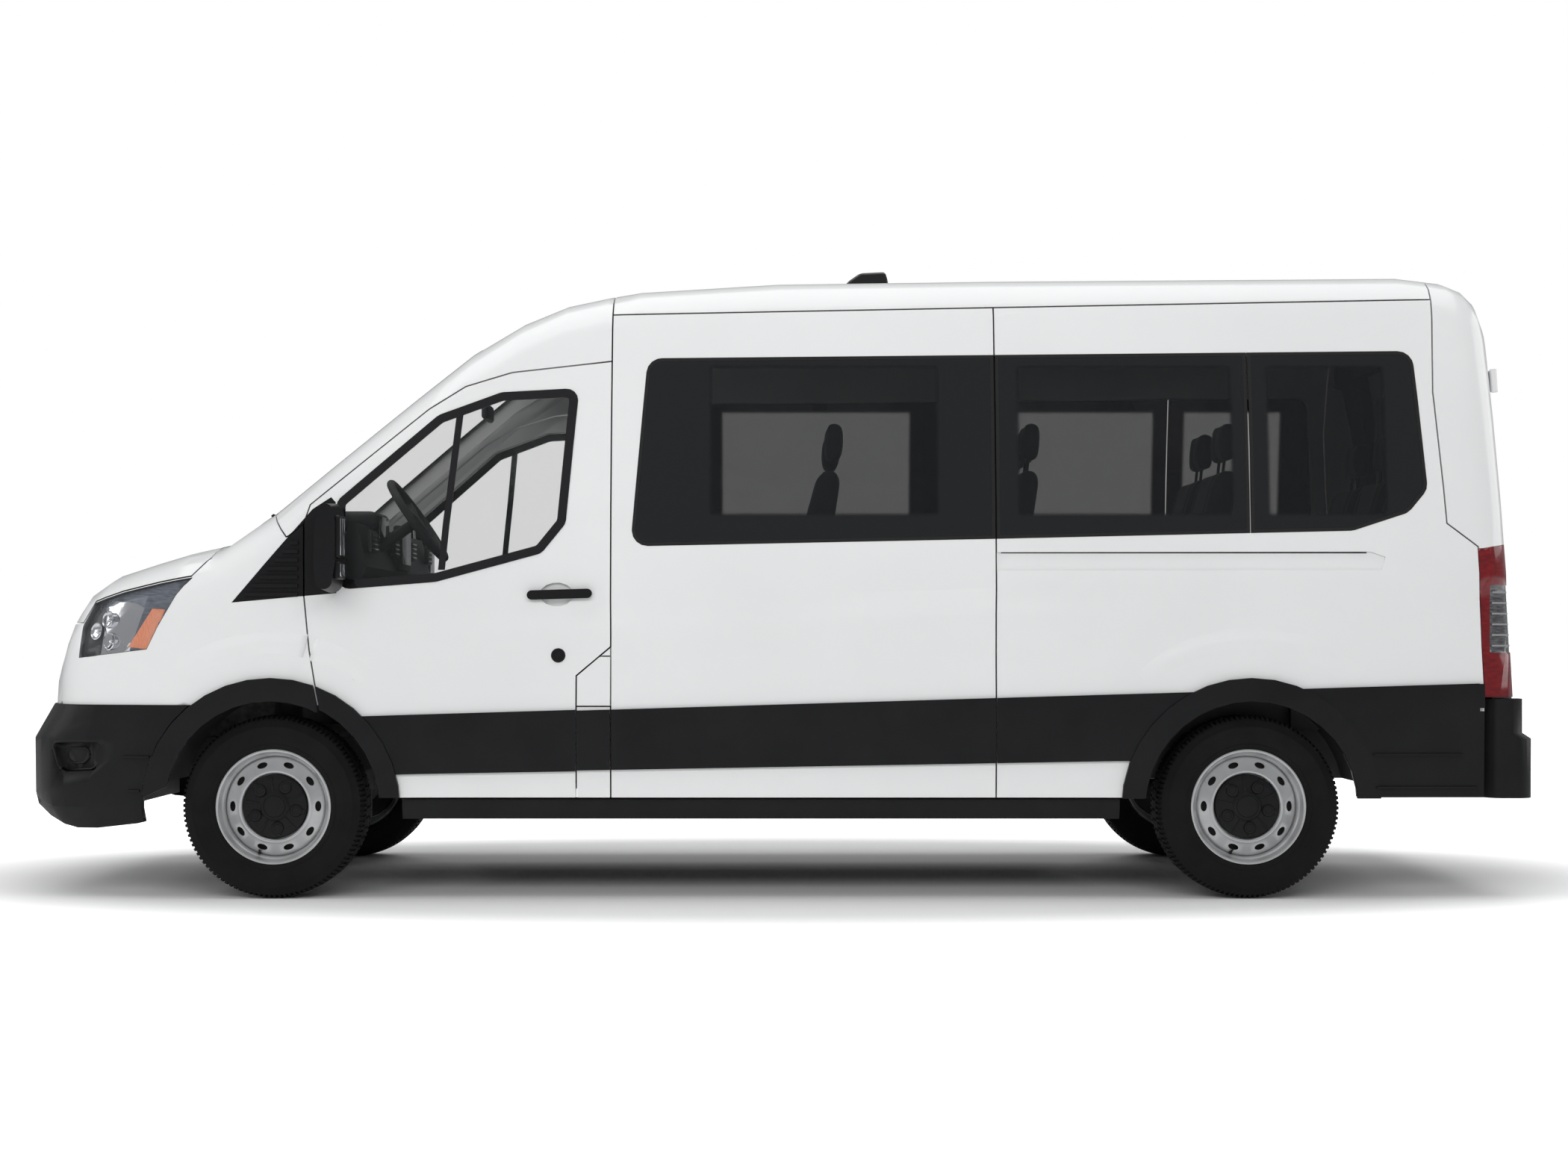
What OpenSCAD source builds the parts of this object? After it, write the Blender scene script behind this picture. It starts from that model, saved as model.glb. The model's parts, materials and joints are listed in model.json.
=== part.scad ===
// Medium-roof passenger van with a long wheelbase, standing on its wheels.
// +X points forward, +Y to the left of the driver, +Z up. The origin lies on the ground,
// under the middle of the overall length and width.

/* [Overall] */
// Distance between the axles
wheelbase = 3750; // [3600:10:3850]
// Nose to the front axle
front_overhang = 1030; // [990:5:1060]
// Rear axle to the rear end
rear_overhang = 1110; // [1060:5:1180]
// Width over the body sides at the belt
body_w = 2036; // [1980:2:2080]
// Roof height on the centre line
roof_h = 2456; // [2380:2:2560]
// Thickness of the doors and of the body walls
wall = 60; // [50:1:70]
// Gap between neighbouring panels
gap = 6; // [5:0.5:8]

/* [Cab and sides] */
// Height of the bonnet's rear edge on the centre line
cowl_h = 1410; // [1380:2:1440]
// Front axle forward to the bonnet's rear edge
cowl_ahead = 210; // [190:2:230]
// Front axle back to the rear edge of the front doors
cab_len = 1300; // [1260:5:1340]
// Front axle back to the hinge line of the front doors
hinge_back = 126; // [110:2:140]
// Rear axle forward to the seam behind the side door
side_clear = 974; // [940:2:1010]
// Roof down to the top of the front doors at their rear edge
door_top_drop = 385; // [360:1:410]
// Bottom edge of the doors and side panels
sill_h = 388; // [376:1:400]
// Bottom edge of the side windows at the front
window_low = 1352; // [1330:1:1380]
// Roof down to the top edge of the side windows at the front
window_top_drop = 373; // [355:1:390]
// Rise of the side's feature lines towards the rear, per length
side_tilt = 0.03; // [0.02:0.005:0.04]
// Height of the shoulder crease at the rear edge of the front doors
shoulder_h = 1148; // [1130:2:1170]
// Depth of the hollow below the shoulder crease
scoop = 12; // [6:1:16]
// Thickness of the side glass
glass_t = 8; // [5:1:10]

/* [Mouldings] */
// Top of the side mouldings at the rear edge of the front doors
moulding_top = 731; // [715:1:745]
// Bottom of the side mouldings there
moulding_low = 494; // [480:1:505]
// How far the side mouldings stand out of the body
moulding_t = 14; // [10:1:18]
// How far the front bumper stands out of the body
bumper_t = 8; // [6:1:12]
// How far the wheel arch trims stand out of the body
arch_t = 22; // [16:1:26]
// Clearance of the wheel arches round the tyres
arch_clearance = 56; // [50:1:66]
// Width of the wheel arch trims
arch_trim_w = 89; // [80:1:98]

/* [Wheels] */
// Outer diameter of the tyres
tyre_d = 704; // [690:1:712]
// Width of the tyres
tyre_w = 235; // [215:1:245]
// Diameter over the rim flanges
rim_d = 442; // [430:1:450]
// Body side in to the wheels' middle planes
wheel_inset = 148; // [140:1:160]
// Radius of the wheel spindles
spindle_r = 30; // [25:1:36]
// Radial clearance of the wheels on their spindles
spindle_play = 0.05; // [0.03:0.01:0.08]
// Wheel's middle plane to the steering pivot
kingpin_offset = 90; // [80:1:100]
// Radius of the steering pivots
kingpin_r = 16; // [14:1:20]
// Number of vent holes in a wheel
vent_count = 10; // [8:1:12]

/* [Hidden] */
$fn = 48;

// Anchors along the van
overall_len = front_overhang + wheelbase + rear_overhang;
x_nose = overall_len / 2;
x_tail = -x_nose;
x_tip = x_nose - bumper_t;
x_fa = x_nose - front_overhang;
x_ra = x_fa - wheelbase;
x_b = x_fa - cab_len;
x_c = x_ra + side_clear;
hinge_x = x_fa - hinge_back;
rear_step = 75;
x_back = x_tail + rear_step;
x_cowl = x_fa + cowl_ahead;
half_w = body_w / 2;
track = body_w - 2 * wheel_inset;
axle_z = tyre_d / 2;
kingpin_y = track / 2 - kingpin_offset;
rail_y = kingpin_y - 400;
rail_size = [80, 130];
floor_z = axle_z + 288;
floor_t = 40;
arch_open_r = axle_z + arch_clearance;
arch_r = arch_open_r + arch_trim_w;
door_top_h = roof_h - door_top_drop;
window_high = roof_h - window_top_drop;
reach = 2 * body_w;
seat_gap = 0.4;
bumper_h = moulding_top + 11;
lean_z = 770;
lean = 0.055;

// Body sections. Columns: x, half width at the belt, top on the centre line, bottom, crown of the top,
// rounding down the side, rounding in along the top, lean of the section per height
windscreen_rise = roof_h - cowl_h;
roof_front = x_b - 103;
windscreen_run = x_cowl - roof_front;
// Columns: share of the run back from the cowl, share of the rise, crown
windscreen_table = [[0.12, 0.143, 110], [0.255, 0.315, 110], [0.4575, 0.569, 105], [0.592, 0.731, 95],
    [0.7154, 0.8356, 75], [0.8215, 0.8958, 60], [0.923, 0.927, 55], [1, 0.9446, 50]];
// Columns: share of the run back from the tip, share of the rise to the cowl, narrowing, bottom, crown,
// rounding down the side, rounding in along the top
nose_run = x_tip - x_cowl;
nose_low = moulding_top - 91;
nose_table = [[0.799, 0.94, 20, 320, 60, 140, 260], [0.61, 0.89, 33, 290, 60, 160, 280],
    [0.379, 0.825, 63, 270, 60, 180, 300], [0.2525, 0.753, 98, 268, 60, 200, 300],
    [0.1786, 0.669, 133, 280, 60, 200, 300], [0.117, 0.552, 188, 310, 50, 180, 280],
    [0.0554, 0.4156, 278, 350, 40, 160, 240], [0.0185, 0.208, 378, 400, 30, 120, 180],
    [0, 0, 498, 470, 20, 60, 100]];
body_table = concat(
    [[x_back, half_w - 113, roof_h - 315, 330, 40, 60, 60, lean],
     [x_back + 15, half_w - 60, roof_h - 193, 330, 40, 90, 90, lean],
     [x_back + 42, half_w - 28, roof_h - 106, 330, 42, 120, 120, lean],
     [x_back + 85, half_w - 6, roof_h - 56, 330, 44, 140, 160, lean],
     [x_back + 146, half_w, roof_h - 26, 330, 45, 150, 190, lean],
     [x_back + 400, half_w, roof_h - 4, 330, 45, 150, 200, 0],
     [x_c, half_w, roof_h - 16, 330, 45, 150, 200, 0],
     [x_b - 640, half_w, roof_h - 28, 330, 45, 150, 200, 0]],
    [for (i = [len(windscreen_table) - 1 : -1 : 0]) let (t = windscreen_table[i])
        [x_cowl - t[0] * windscreen_run, half_w - 7 * (1 - t[0]), cowl_h + t[1] * windscreen_rise,
         330, t[2], 130, 200, 0]],
    [[x_cowl, half_w - 14, cowl_h, 330, 80, 120, 240, 0]],
    [for (t = nose_table) [x_tip - t[0] * nose_run, half_w - t[2], nose_low + t[1] * (cowl_h - nose_low),
        t[3], t[4], t[5], t[6], 0]]);

function sorted(v) = len(v) < 2 ? v : let (p = v[0])
    concat(sorted([for (e = v) if (e < p) e]), [p], sorted([for (e = v) if (e > p) e]));
function column(c) = [for (s = body_table) [s[0], s[c]]];
body_columns = [for (c = [0 : 7]) column(c)];
function station(x) = [for (c = [0 : 7]) lookup(x, body_columns[c])];
// Extra sections round the wheel arches carry the flares
flare_steps = [-600, -390, 0, 390, 600];
station_x = sorted(concat([for (s = body_table) s[0]],
    [for (a = [x_fa, x_ra]) for (d = flare_steps) a + d]));
outer_stations = [for (x = station_x) station(x)];
inner_stations = [for (s = body_table) s];

function ease(t) = let (u = min(1, max(0, t))) u * u * (3 - 2 * u);
function tilted(z, x) = z + side_tilt * (x_b - x);
// How far the side leans in at a height
function tumble(z) = z > shoulder_h ? 130 * pow((z - shoulder_h) / 1100,
    1.7) : 15 * pow((shoulder_h - z) / 800, 2);
function near_arch(x, z) = let (r = min(norm([x - x_fa, z - axle_z]), norm([x - x_ra, z - axle_z])))
    1 - ease((r - 545) / 105);
// Hollow below the shoulder crease, closed again by the flares over the wheels
function hollow(x, z) = let (d = tilted(shoulder_h, x) - z, fade = ease((x_fa - 340 - x) / 420))
    scoop * fade * ease(d / 100) * (1 - ease((d - 290) / 60));
function side_y(x, z, w, t) = w - tumble(z) - (t > plain_depth ? 0
    : hollow(x, z) * (1 - near_arch(x, z)) - 9 * near_arch(x, z));

fine_levels = [for (drop = [548, 348, 278, 188, 98, 0]) shoulder_h - drop];
plain_depth = 5;
plain_levels = [shoulder_h - 548, shoulder_h];
function bend(a, c, b, t) = a * (1 - t) * (1 - t) + c * 2 * t * (1 - t) + b * t * t;
// Left half of a section from the bottom centre to the top centre, set in by t
function half_section(s, t) = let (
    x = s[0], w = s[1] - t, top = s[2] - t, low = t > 0 ? s[3] - wall : s[3], crown = s[4],
    edge = top - crown - s[5], plain = t > plain_depth, side_levels = plain ? plain_levels : fine_levels,
    n = len(side_levels), upper_count = plain ? 2 : 3, corner_count = plain ? 3 : 4, top_count = 2,
    steps = [for (i = [0 : n]) i == 0 ? low
        : min(max(tilted(side_levels[i - 1], x), low + 6 * i), low + (edge - low) * i / (n + upper_count))],
    rest = [for (i = [1 : upper_count]) steps[n] + (edge - steps[n]) * i / upper_count],
    side = [for (z = concat(steps, rest)) [side_y(x, z, w, t), z]],
    a = side[len(side) - 1],
    c = [side_y(x, top - crown, w, t), top - crown],
    by = a[0] - s[6],
    b = [by, top - crown * pow(by / a[0], 2)],
    corner = [for (i = [1 : corner_count]) bend(a, c, b, i / corner_count)],
    over = [for (i = [1 : top_count]) let (y = by * (1 - i / top_count)) [y, top - crown * pow(y / a[0], 2)]])
    [for (p = concat([[0, low]], side, corner, over)) [x + s[7] * (p[1] - lean_z), p[0], p[1]]];
function section(s, t) = let (h = half_section(s, t), n = len(h))
    concat(h, [for (i = [n - 2 : -1 : 1]) [h[i][0], -h[i][1], h[i][2]]]);
// Ends of the hollow lie a wall inside the ends of the body
function set_in(s, t) = [s[0] + (s[0] < x_back + 160 ? t : s[0] > x_tip - 0.39 * nose_run ? -t : 0), s[1],
    s[2], s[3],
    s[4], s[5], s[6], s[7]];

// The closed body form, set in by t (or out, if t is negative)
module body_form(stations, t) {
    rings = [for (s = stations) section(set_in(s, t), t)];
    n = len(rings[0]);
    m = len(rings);
    polyhedron(points = [for (r = rings) each r], faces = concat(
        [[for (j = [0 : n - 1]) j]], [[for (j = [n - 1 : -1 : 0]) (m - 1) * n + j]],
        [for (i = [0 : m - 2]) for (j = [0 : n - 1]) let (k = (j + 1) % n)
            let (a = i * n + j, b = (i + 1) * n + j, c = (i + 1) * n + k, d = i * n + k)
            each j < n / 2 ? [[a, b, d], [b, c, d]] : [[a, b, c], [a, c, d]]]));
}

// A layer of the body between two depths below its surface, as one faceted skin,
// kept where the children stand. A resize of zero leaves the size as it is.
module skin(from, to) {
    resize([0, 0, 0]) intersection() {
        difference() {
            body_form(from > plain_depth ? inner_stations : outer_stations, from);
            body_form(to > plain_depth ? inner_stations : outer_stations, to);
        }
        union() children();
    }
}

// The same with hollows of the given depth where the second child stands
module hollowed_skin(from, to, depth) {
    resize([0, 0, 0]) intersection() {
        difference() {
            body_form(from > plain_depth ? inner_stations : outer_stations, from);
            body_form(to > plain_depth ? inner_stations : outer_stations, to);
            intersection() {
                children(1);
                difference() {
                    body_form(outer_stations, from - 30);
                    body_form(inner_stations, depth);
                }
            }
        }
        children(0);
    }
}

// Prisms along the three axes from outlines seen from the side, the front and above
module from_left() { translate([0, reach, 0]) rotate([90, 0, 0]) linear_extrude(reach) children(); }
module from_right() { mirror([0, 1, 0]) from_left() children(); }
module both_sides() { translate([0, reach, 0]) rotate([90, 0, 0]) linear_extrude(2 * reach) children(); }
module from_front() {
    translate([x_cowl - 1600, 0, 0]) rotate([90, 0, 90]) linear_extrude(reach) children();
}
module from_rear() { translate([x_back - 300, 0, 0]) rotate([90, 0, 90]) linear_extrude(700) children(); }
module mirrored() {
    children();
    mirror([0, 1, 0]) children();
}
module rounded(r) { offset(r = r, $fn = 16) offset(delta = -r) children(); }
module inset_by_gap() { offset(delta = -gap / 2) children(); }

// Outlines in side view, from heights between the cowl and the top of the doors
door_base_h = cowl_h + 30;
function door_h(share) = door_base_h + share * (door_top_h - door_base_h);
function front_h(share) = bumper_h + share * (cowl_h - bumper_h);
nose_len = x_nose - x_cowl;
function nose_point(p) = [x_nose - p[0] * nose_len, front_h(p[1])];
door_edge = [[x_b, door_top_h], [x_b + 385, door_h(0.93)], [x_b + 565, door_h(0.843)], [x_b + 705,
    door_h(0.704)],
    [hinge_x - 19, door_h(0.117)], [hinge_x + 3, door_base_h]];
low_door_edge = [[hinge_x, front_h(0.63)], [hinge_x - 21, front_h(0.316)], [hinge_x - 42, front_h(0.136)],
    [hinge_x - 60, bumper_h]];
flap_w = 132;
flap_t = 18;
flap_low = moulding_top + 9;
flap_top = flap_low + 228;
flap_rise = 111;
flap_cut = 36;
flap_corner = [x_b + flap_cut * flap_w / flap_rise, flap_top - flap_cut];
module arch_circle(x, r) { translate([x, axle_z]) circle(r = r, $fn = 36); }
module front_door_outline(with_flap) {
    difference() {
        polygon(concat(door_edge, low_door_edge, [[hinge_x - 60, sill_h]],
            with_flap ? [[x_b + flap_w, sill_h], [x_b + flap_w, flap_top - flap_rise], [x_b, flap_top]]
                : [[x_b, sill_h]]));
        arch_circle(x_fa, arch_open_r + 10);
    }
}
module door_window_outline() {
    rounded(45) polygon([[hinge_x - 129, window_low - 166], [hinge_x - 122, door_h(0.138)], [x_b + 667,
        door_h(0.666)],
        [x_b + 425, door_h(0.808)], [x_b + 125, door_h(0.834)], [x_b + 172, window_low + 88],
        [x_b + 265, window_low - 27], [x_b + 667, window_low - 136]]);
}
module sail_outline() {
    polygon([[hinge_x + 278, window_low - 215], [hinge_x - 29, door_h(0.089)], [hinge_x - 100, door_h(0.162)],
        [hinge_x - 119, door_h(0.13)], [hinge_x - 125, window_low - 179]]);
}
// Columns: share of the bonnet's length back from the nose, share of the height from the bumper to the cowl
headlamp_table = [[0.248, 0.275], [0.266, 0.452], [0.323, 0.593], [0.49, 0.651], [0.71, 0.7035], [0.877,
    0.735],
    [0.802, 0.635], [0.744, 0.533], [0.699, 0.452], [0.64, 0.325]];
bonnet_seam_table = [[-0.024, 0.4655], [0.266, 0.476], [0.323, 0.602], [0.49, 0.66], [0.71, 0.7125],
    [0.877, 0.744], [0.952, 0.853], [0.973, 0.955]];
module headlamp_outline() { polygon([for (p = headlamp_table) nose_point(p)]); }
bonnet_seam = [for (p = bonnet_seam_table) nose_point(p)];
hood_rear = bonnet_seam[7][0];
module hood_outline() { polygon(concat(bonnet_seam, [[hood_rear, roof_h], [x_nose + 20, roof_h]])); }
roof_edge_h = roof_h - 200;
module above_roof_edge() {
    polygon([[x_b, roof_edge_h], [x_back + 300, roof_edge_h + 62], [x_back - 100, roof_edge_h + 70],
        [x_back - 100, roof_h + 200], [x_b, roof_h + 200]]);
}
lamp_low = moulding_top + 44;
corner_edge = [[x_back + 297, roof_h + 100], [x_back + 320, roof_h - 506], [x_back + 282, window_low + 89],
    [x_back + 164, window_low - 1], [x_back + 140, lamp_low]];
module behind_corner_edge() {
    polygon(concat(corner_edge, [[x_back + 140, 300], [x_back - 400, 300], [x_back - 400, roof_h + 100]]));
}
window_band_end = x_back + 353;
module window_band() {
    rounded(60) polygon([[x_b - 75, window_low], [x_b - 137, window_high], [window_band_end + 40,
        window_high + 29],
        [window_band_end, window_low + 220], [window_band_end + 75, window_low + 130],
        [window_band_end + 290, window_low + 60], [x_c, window_low + 29]]);
}
third_pane_x = x_c - 975;
module moulding_band(from, to) {
    polygon([[from, tilted(moulding_top, from)], [to, tilted(moulding_top, to)],
        [to, moulding_low + 0.0175 * (x_b - to)], [from, moulding_low + 0.0175 * (x_b - from)]]);
}
module side_slab(from, to, low) { translate([to, low]) square([from - to, roof_h]); }

// Body panels
module roof() color("white") skin(0, wall) both_sides() inset_by_gap() difference() {
    above_roof_edge();
    behind_corner_edge();
}
module side_panel_outline() {
    difference() {
        side_slab(x_b, x_c, sill_h);
        above_roof_edge();
    }
}
module panel_with_window(outline_low) {
    difference() {
        inset_by_gap() children();
        window_band();
    }
}
module side_panel_left() color("white") {
    skin(0, wall) from_left() {
        panel_with_window() side_panel_outline();
        inset_by_gap() polygon([[x_b, sill_h], [x_b, flap_low], [x_b + flap_w, flap_low], [x_b + flap_w,
            sill_h]]);
    }
    skin(wall - 22, wall) from_left() translate([seat_gap - gap / 2, 0]) {
        flap_outline();
        flap_tip_outline();
    }
    // The tip over the flap stays on the body, so that the flap's inner edge swings clear of the door
    skin(0, wall - 22 - seat_gap) from_left() inset_by_gap() flap_tip_outline();
    skin(flap_t + seat_gap, wall - 22 - seat_gap) from_left() translate([x_b + flap_w - 50, flap_low + 30])
        square(24);
}
module sliding_door() color("white") skin(0, wall) from_right() panel_with_window() side_panel_outline();
module quarter_outline() {
    difference() {
        side_slab(x_c, x_back - 10, sill_h);
        above_roof_edge();
        behind_corner_edge();
        arch_circle(x_ra, arch_open_r + 10);
    }
}
// Long hollow that carries the outer rail of the sliding door
module rail_groove() {
    polygon([[x_c + 20, window_low - 22], [x_ra - 460, window_low - 20], [x_ra - 516, window_low - 40],
        [x_ra - 500, window_low - 90], [x_c + 20, window_low - 92]]);
}
module quarter_left() color("white") hollowed_skin(0, wall, 9) {
    from_left() panel_with_window() quarter_outline();
    from_left() rail_groove();
}
module quarter_right() color("white") hollowed_skin(0, wall, 9) {
    from_right() panel_with_window() quarter_outline();
    from_right() rail_groove();
}

rear_opening_h = roof_h - 228;
rear_opening = [[0, floor_z - 25], [half_w - 218, floor_z - 25], [half_w - 218, window_low + 148],
    [half_w - 270, rear_opening_h], [0, rear_opening_h]];
lamp_in = half_w - 128;
module rear_opening_outline() { polygon([for (s = [1, -1]) each s > 0 ? rear_opening
    : [for (i = [len(rear_opening) - 1 : -1 : 0]) [-rear_opening[i][0], rear_opening[i][1]]]]); }
module lamp_outline() {
    intersection() {
        behind_corner_edge();
        polygon([[x_back + 300, window_low - 7], [x_back + 150, window_low - 7], [x_back - 100,
            window_low + 33],
            [x_back - 100, lamp_low], [x_back + 300, lamp_low]]);
    }
}
module rear_corner_frame() color("white") skin(0, wall) difference() {
    both_sides() inset_by_gap() intersection() {
        behind_corner_edge();
        translate([x_back - 200, floor_z - 20]) square([1000, roof_h]);
    }
    from_rear() rear_opening_outline();
    mirrored() translate([x_back - 300, lamp_in, 0]) cube([900, 400, lamp_low + 4]);
    mirrored() translate([0, lamp_in, 0]) from_left() offset(delta = seat_gap) lamp_outline();
}
module tail_lamps() color("darkred") {
    skin(0, wall - 10) mirrored() translate([0, lamp_in + seat_gap, 0]) from_left() lamp_outline();
    skin(-14, -seat_gap) translate([x_back + 40, -130, roof_h - 300]) cube([100, 260, 400]);
}
module rear_door(s) color("white") skin(0, wall) intersection() {
    from_rear() difference() {
        intersection() {
            offset(delta = -gap) rear_opening_outline();
            translate([s > 0 ? gap / 2 : -reach - gap / 2, 0]) square([reach, roof_h]);
        }
        rear_window_outline(s);
    }
    translate([x_back - 300, -reach, 0]) cube([530, 2 * reach, roof_h]);
}
module rear_window_outline(s) {
    rounded(40) polygon([[s * 130, window_low + 68], [s * (half_w - 303), window_low + 68],
        [s * (half_w - 346), roof_h - 376], [s * 130, roof_h - 376]]);
}
module rear_glass(s) color([0.1, 0.1, 0.12]) skin(0.5, glass_t) from_rear() offset(delta = -seat_gap)
    rear_window_outline(s);

module windscreen_outline() {
    rounded(70) polygon([for (p = [[-1, 183, cowl_h + 30], [1, 183, cowl_h + 30], [1, 280, roof_h - 286],
        [-1, 280, roof_h - 286]]) [p[0] * (half_w - p[1]), p[2]]]);
}
base_seam = [[hinge_x + 166, cowl_h + 110], [hinge_x + 70, cowl_h - 21], [hinge_x + 60, cowl_h - 17]];
module cab_upper() color("white") skin(0, wall) difference() {
    both_sides() inset_by_gap() polygon(concat(door_edge, [base_seam[2], base_seam[1], base_seam[0],
        [hinge_x + 246, cowl_h + 110], [hinge_x + 246, roof_h + 100], [x_b, roof_h + 100]]));
    from_front() windscreen_outline();
    mirrored() from_left() sail_outline();
}
module windscreen() color([0.2, 0.22, 0.24]) skin(0.5, glass_t) from_front() offset(delta = -seat_gap)
    windscreen_outline();
module fender_outline() {
    difference() {
        polygon(concat([for (i = [len(low_door_edge) - 1 : -1 : 0]) low_door_edge[i]],
            [door_edge[5], base_seam[2], base_seam[1], base_seam[0], [hood_rear, cowl_h + 110]],
            [for (i = [7 : -1 : 0]) bonnet_seam[i]], [[x_nose + 20, bumper_h]]));
        arch_circle(x_fa, arch_open_r + 10);
    }
}
grille_half = [half_w - 458, half_w - 408];
grille_outline = [[-grille_half[0], bumper_h - 20], [grille_half[0], bumper_h - 20], [grille_half[1],
    front_h(0.506)],
    [-grille_half[1], front_h(0.506)]];
module fenders() color("white") skin(0, wall / 2) difference() {
    both_sides() inset_by_gap() fender_outline();
    from_front() polygon(grille_outline);
    from_front() cowl_outline();
    from_front() windscreen_outline();
    mirrored() translate([0, 300, 0]) from_left() offset(delta = seat_gap) headlamp_outline();
    mirrored() from_left() sail_outline();
}
module headlamps() color("gainsboro") skin(0, wall / 2) difference() {
    mirrored() translate([0, 300, 0]) from_left() headlamp_outline();
    from_front() offset(delta = gap) polygon(grille_outline);
}
module hood() color("white") skin(0, wall / 2) both_sides() inset_by_gap() hood_outline();
module cowl_outline() { translate([-half_w + 238, cowl_h - 80]) square([body_w - 476, 120]); }
module cowl() color("black") skin(4, wall / 2) intersection() {
    from_front() offset(delta = -seat_gap) cowl_outline();
    both_sides() translate([x_fa - 60, cowl_h - 110]) square([hood_rear - gap - x_fa + 60, 139]);
}
slot_count = 4;
grille_h = front_h(0.461) - bumper_h;
slot_pitch = (grille_h - 52) / slot_count;
module grille() color([0.1, 0.1, 0.1]) skin(3, wall / 2) difference() {
    intersection() {
        from_front() offset(delta = -seat_gap) polygon(grille_outline);
        both_sides() translate([x_nose - 400, bumper_h + gap / 2]) square([500, grille_h - gap]);
    }
    from_front() for (i = [0 : slot_count - 1]) translate([-grille_half[0] + 40,
        bumper_h + 34 + slot_pitch * i])
        square([2 * grille_half[0] - 80, slot_pitch - 26]);
}
module front_bumper() color([0.13, 0.13, 0.14]) hollowed_skin(-bumper_t, 26, 14) {
    difference() {
        both_sides() difference() {
            translate([x_fa, 200]) square([front_overhang + 60, bumper_h + gap / 2 - seat_gap - 200]);
            arch_circle(x_fa, arch_r + gap);
        }
        from_front() rounded(30) polygon([for (p = [[-1, 548, 272], [1, 548, 272], [1, 498, 142], [-1, 498,
            142]])
            [p[0] * (half_w - p[1]), bumper_h - p[2]]]);
    }
    mirrored() from_left() fog_recess_outline();
}
module fog_recess_outline() {
    rounded(18) polygon([[x_nose - 160, bumper_h - 142], [x_nose - 368, bumper_h - 138], [x_nose - 345,
        bumper_h - 250],
        [x_nose - 205, bumper_h - 258]]);
}

// Doors that swing, with their glass and fittings
module front_door(s) color("white") hollowed_skin(0, wall, 16) {
    mirror([0, s > 0 ? 0 : 1, 0]) from_left() difference() {
        inset_by_gap() front_door_outline(s > 0);
        door_window_outline();
        sail_outline();
    }
    mirror([0, s > 0 ? 0 : 1, 0]) from_left() translate([x_b + 206, handle_z - 4]) scale([1.4, 1])
        circle(r = 46, $fn = 14);
}
module front_glass(s) color([0.15, 0.16, 0.17]) skin(0.5, glass_t) mirror([0, s > 0 ? 0 : 1, 0]) from_left()
    offset(delta = -seat_gap) door_window_outline();
module arch_ring(x) {
    difference() {
        arch_circle(x, arch_r);
        arch_circle(x, arch_open_r);
        translate([x - arch_r, 0]) square([2 * arch_r, sill_h]);
    }
}
mirror_depth = 175;
// Columns: height from the mirror's middle, shift forward, radius
mirror_table = [[-128, 2, 42], [-60, 0, 50], [90, -3, 48], [134, -6, 36]];
mirror_z = window_low - 9;
handle_z = window_low - 180;
module door_fittings(s) color([0.1, 0.1, 0.1]) mirror([0, s > 0 ? 0 : 1, 0]) {
    skin(1, wall) from_left() intersection() {
        inset_by_gap() front_door_outline(s > 0);
        offset(delta = -seat_gap) difference() {
            sail_outline();
            offset(delta = seat_gap) door_window_outline();
        }
    }
    skin(-moulding_t, -seat_gap) from_left() difference() {
        intersection() {
            inset_by_gap() front_door_outline(s > 0);
            moulding_band(x_fa, x_b - 10);
        }
        arch_circle(x_fa, arch_r + seat_gap);
    }
    skin(-arch_t, -seat_gap) from_left() intersection() {
        inset_by_gap() front_door_outline(s > 0);
        arch_ring(x_fa);
    }
    door_mirror();
    door_handle();
}
module door_mirror() {
    face_y = half_w - 16;
    hull() for (m = mirror_table) translate([hinge_x - 120 + m[1], face_y + 60, mirror_z + m[0]])
        rotate([-90, 0, 0]) cylinder(r1 = m[2], r2 = m[2] - 10, h = mirror_depth, $fn = 20);
    translate([hinge_x - 115, face_y, mirror_z - 135]) cube([50, 80, 60]);
}
module door_handle() {
    hull() for (d = [0, 212]) translate([x_b + 88 + d, half_w + 22, handle_z + d * -0.03])
        rotate([90, 0, 0]) cylinder(r = 18, h = 16, $fn = 24);
    for (d = [20, 190]) translate([x_b + 76 + d, half_w - 0.9, handle_z - 14]) cube([26, 16.9, 22]);
}
module flap_outline() {
    polygon([[x_b, flap_top - flap_cut], flap_corner, [x_b + flap_w, flap_top - flap_rise],
        [x_b + flap_w, flap_low], [x_b, flap_low]]);
}
module flap_tip_outline() { polygon([[x_b, flap_top], flap_corner, [x_b, flap_top - flap_cut]]); }
module fuel_flap() color("white") skin(0, flap_t) from_left() inset_by_gap() flap_outline();

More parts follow.
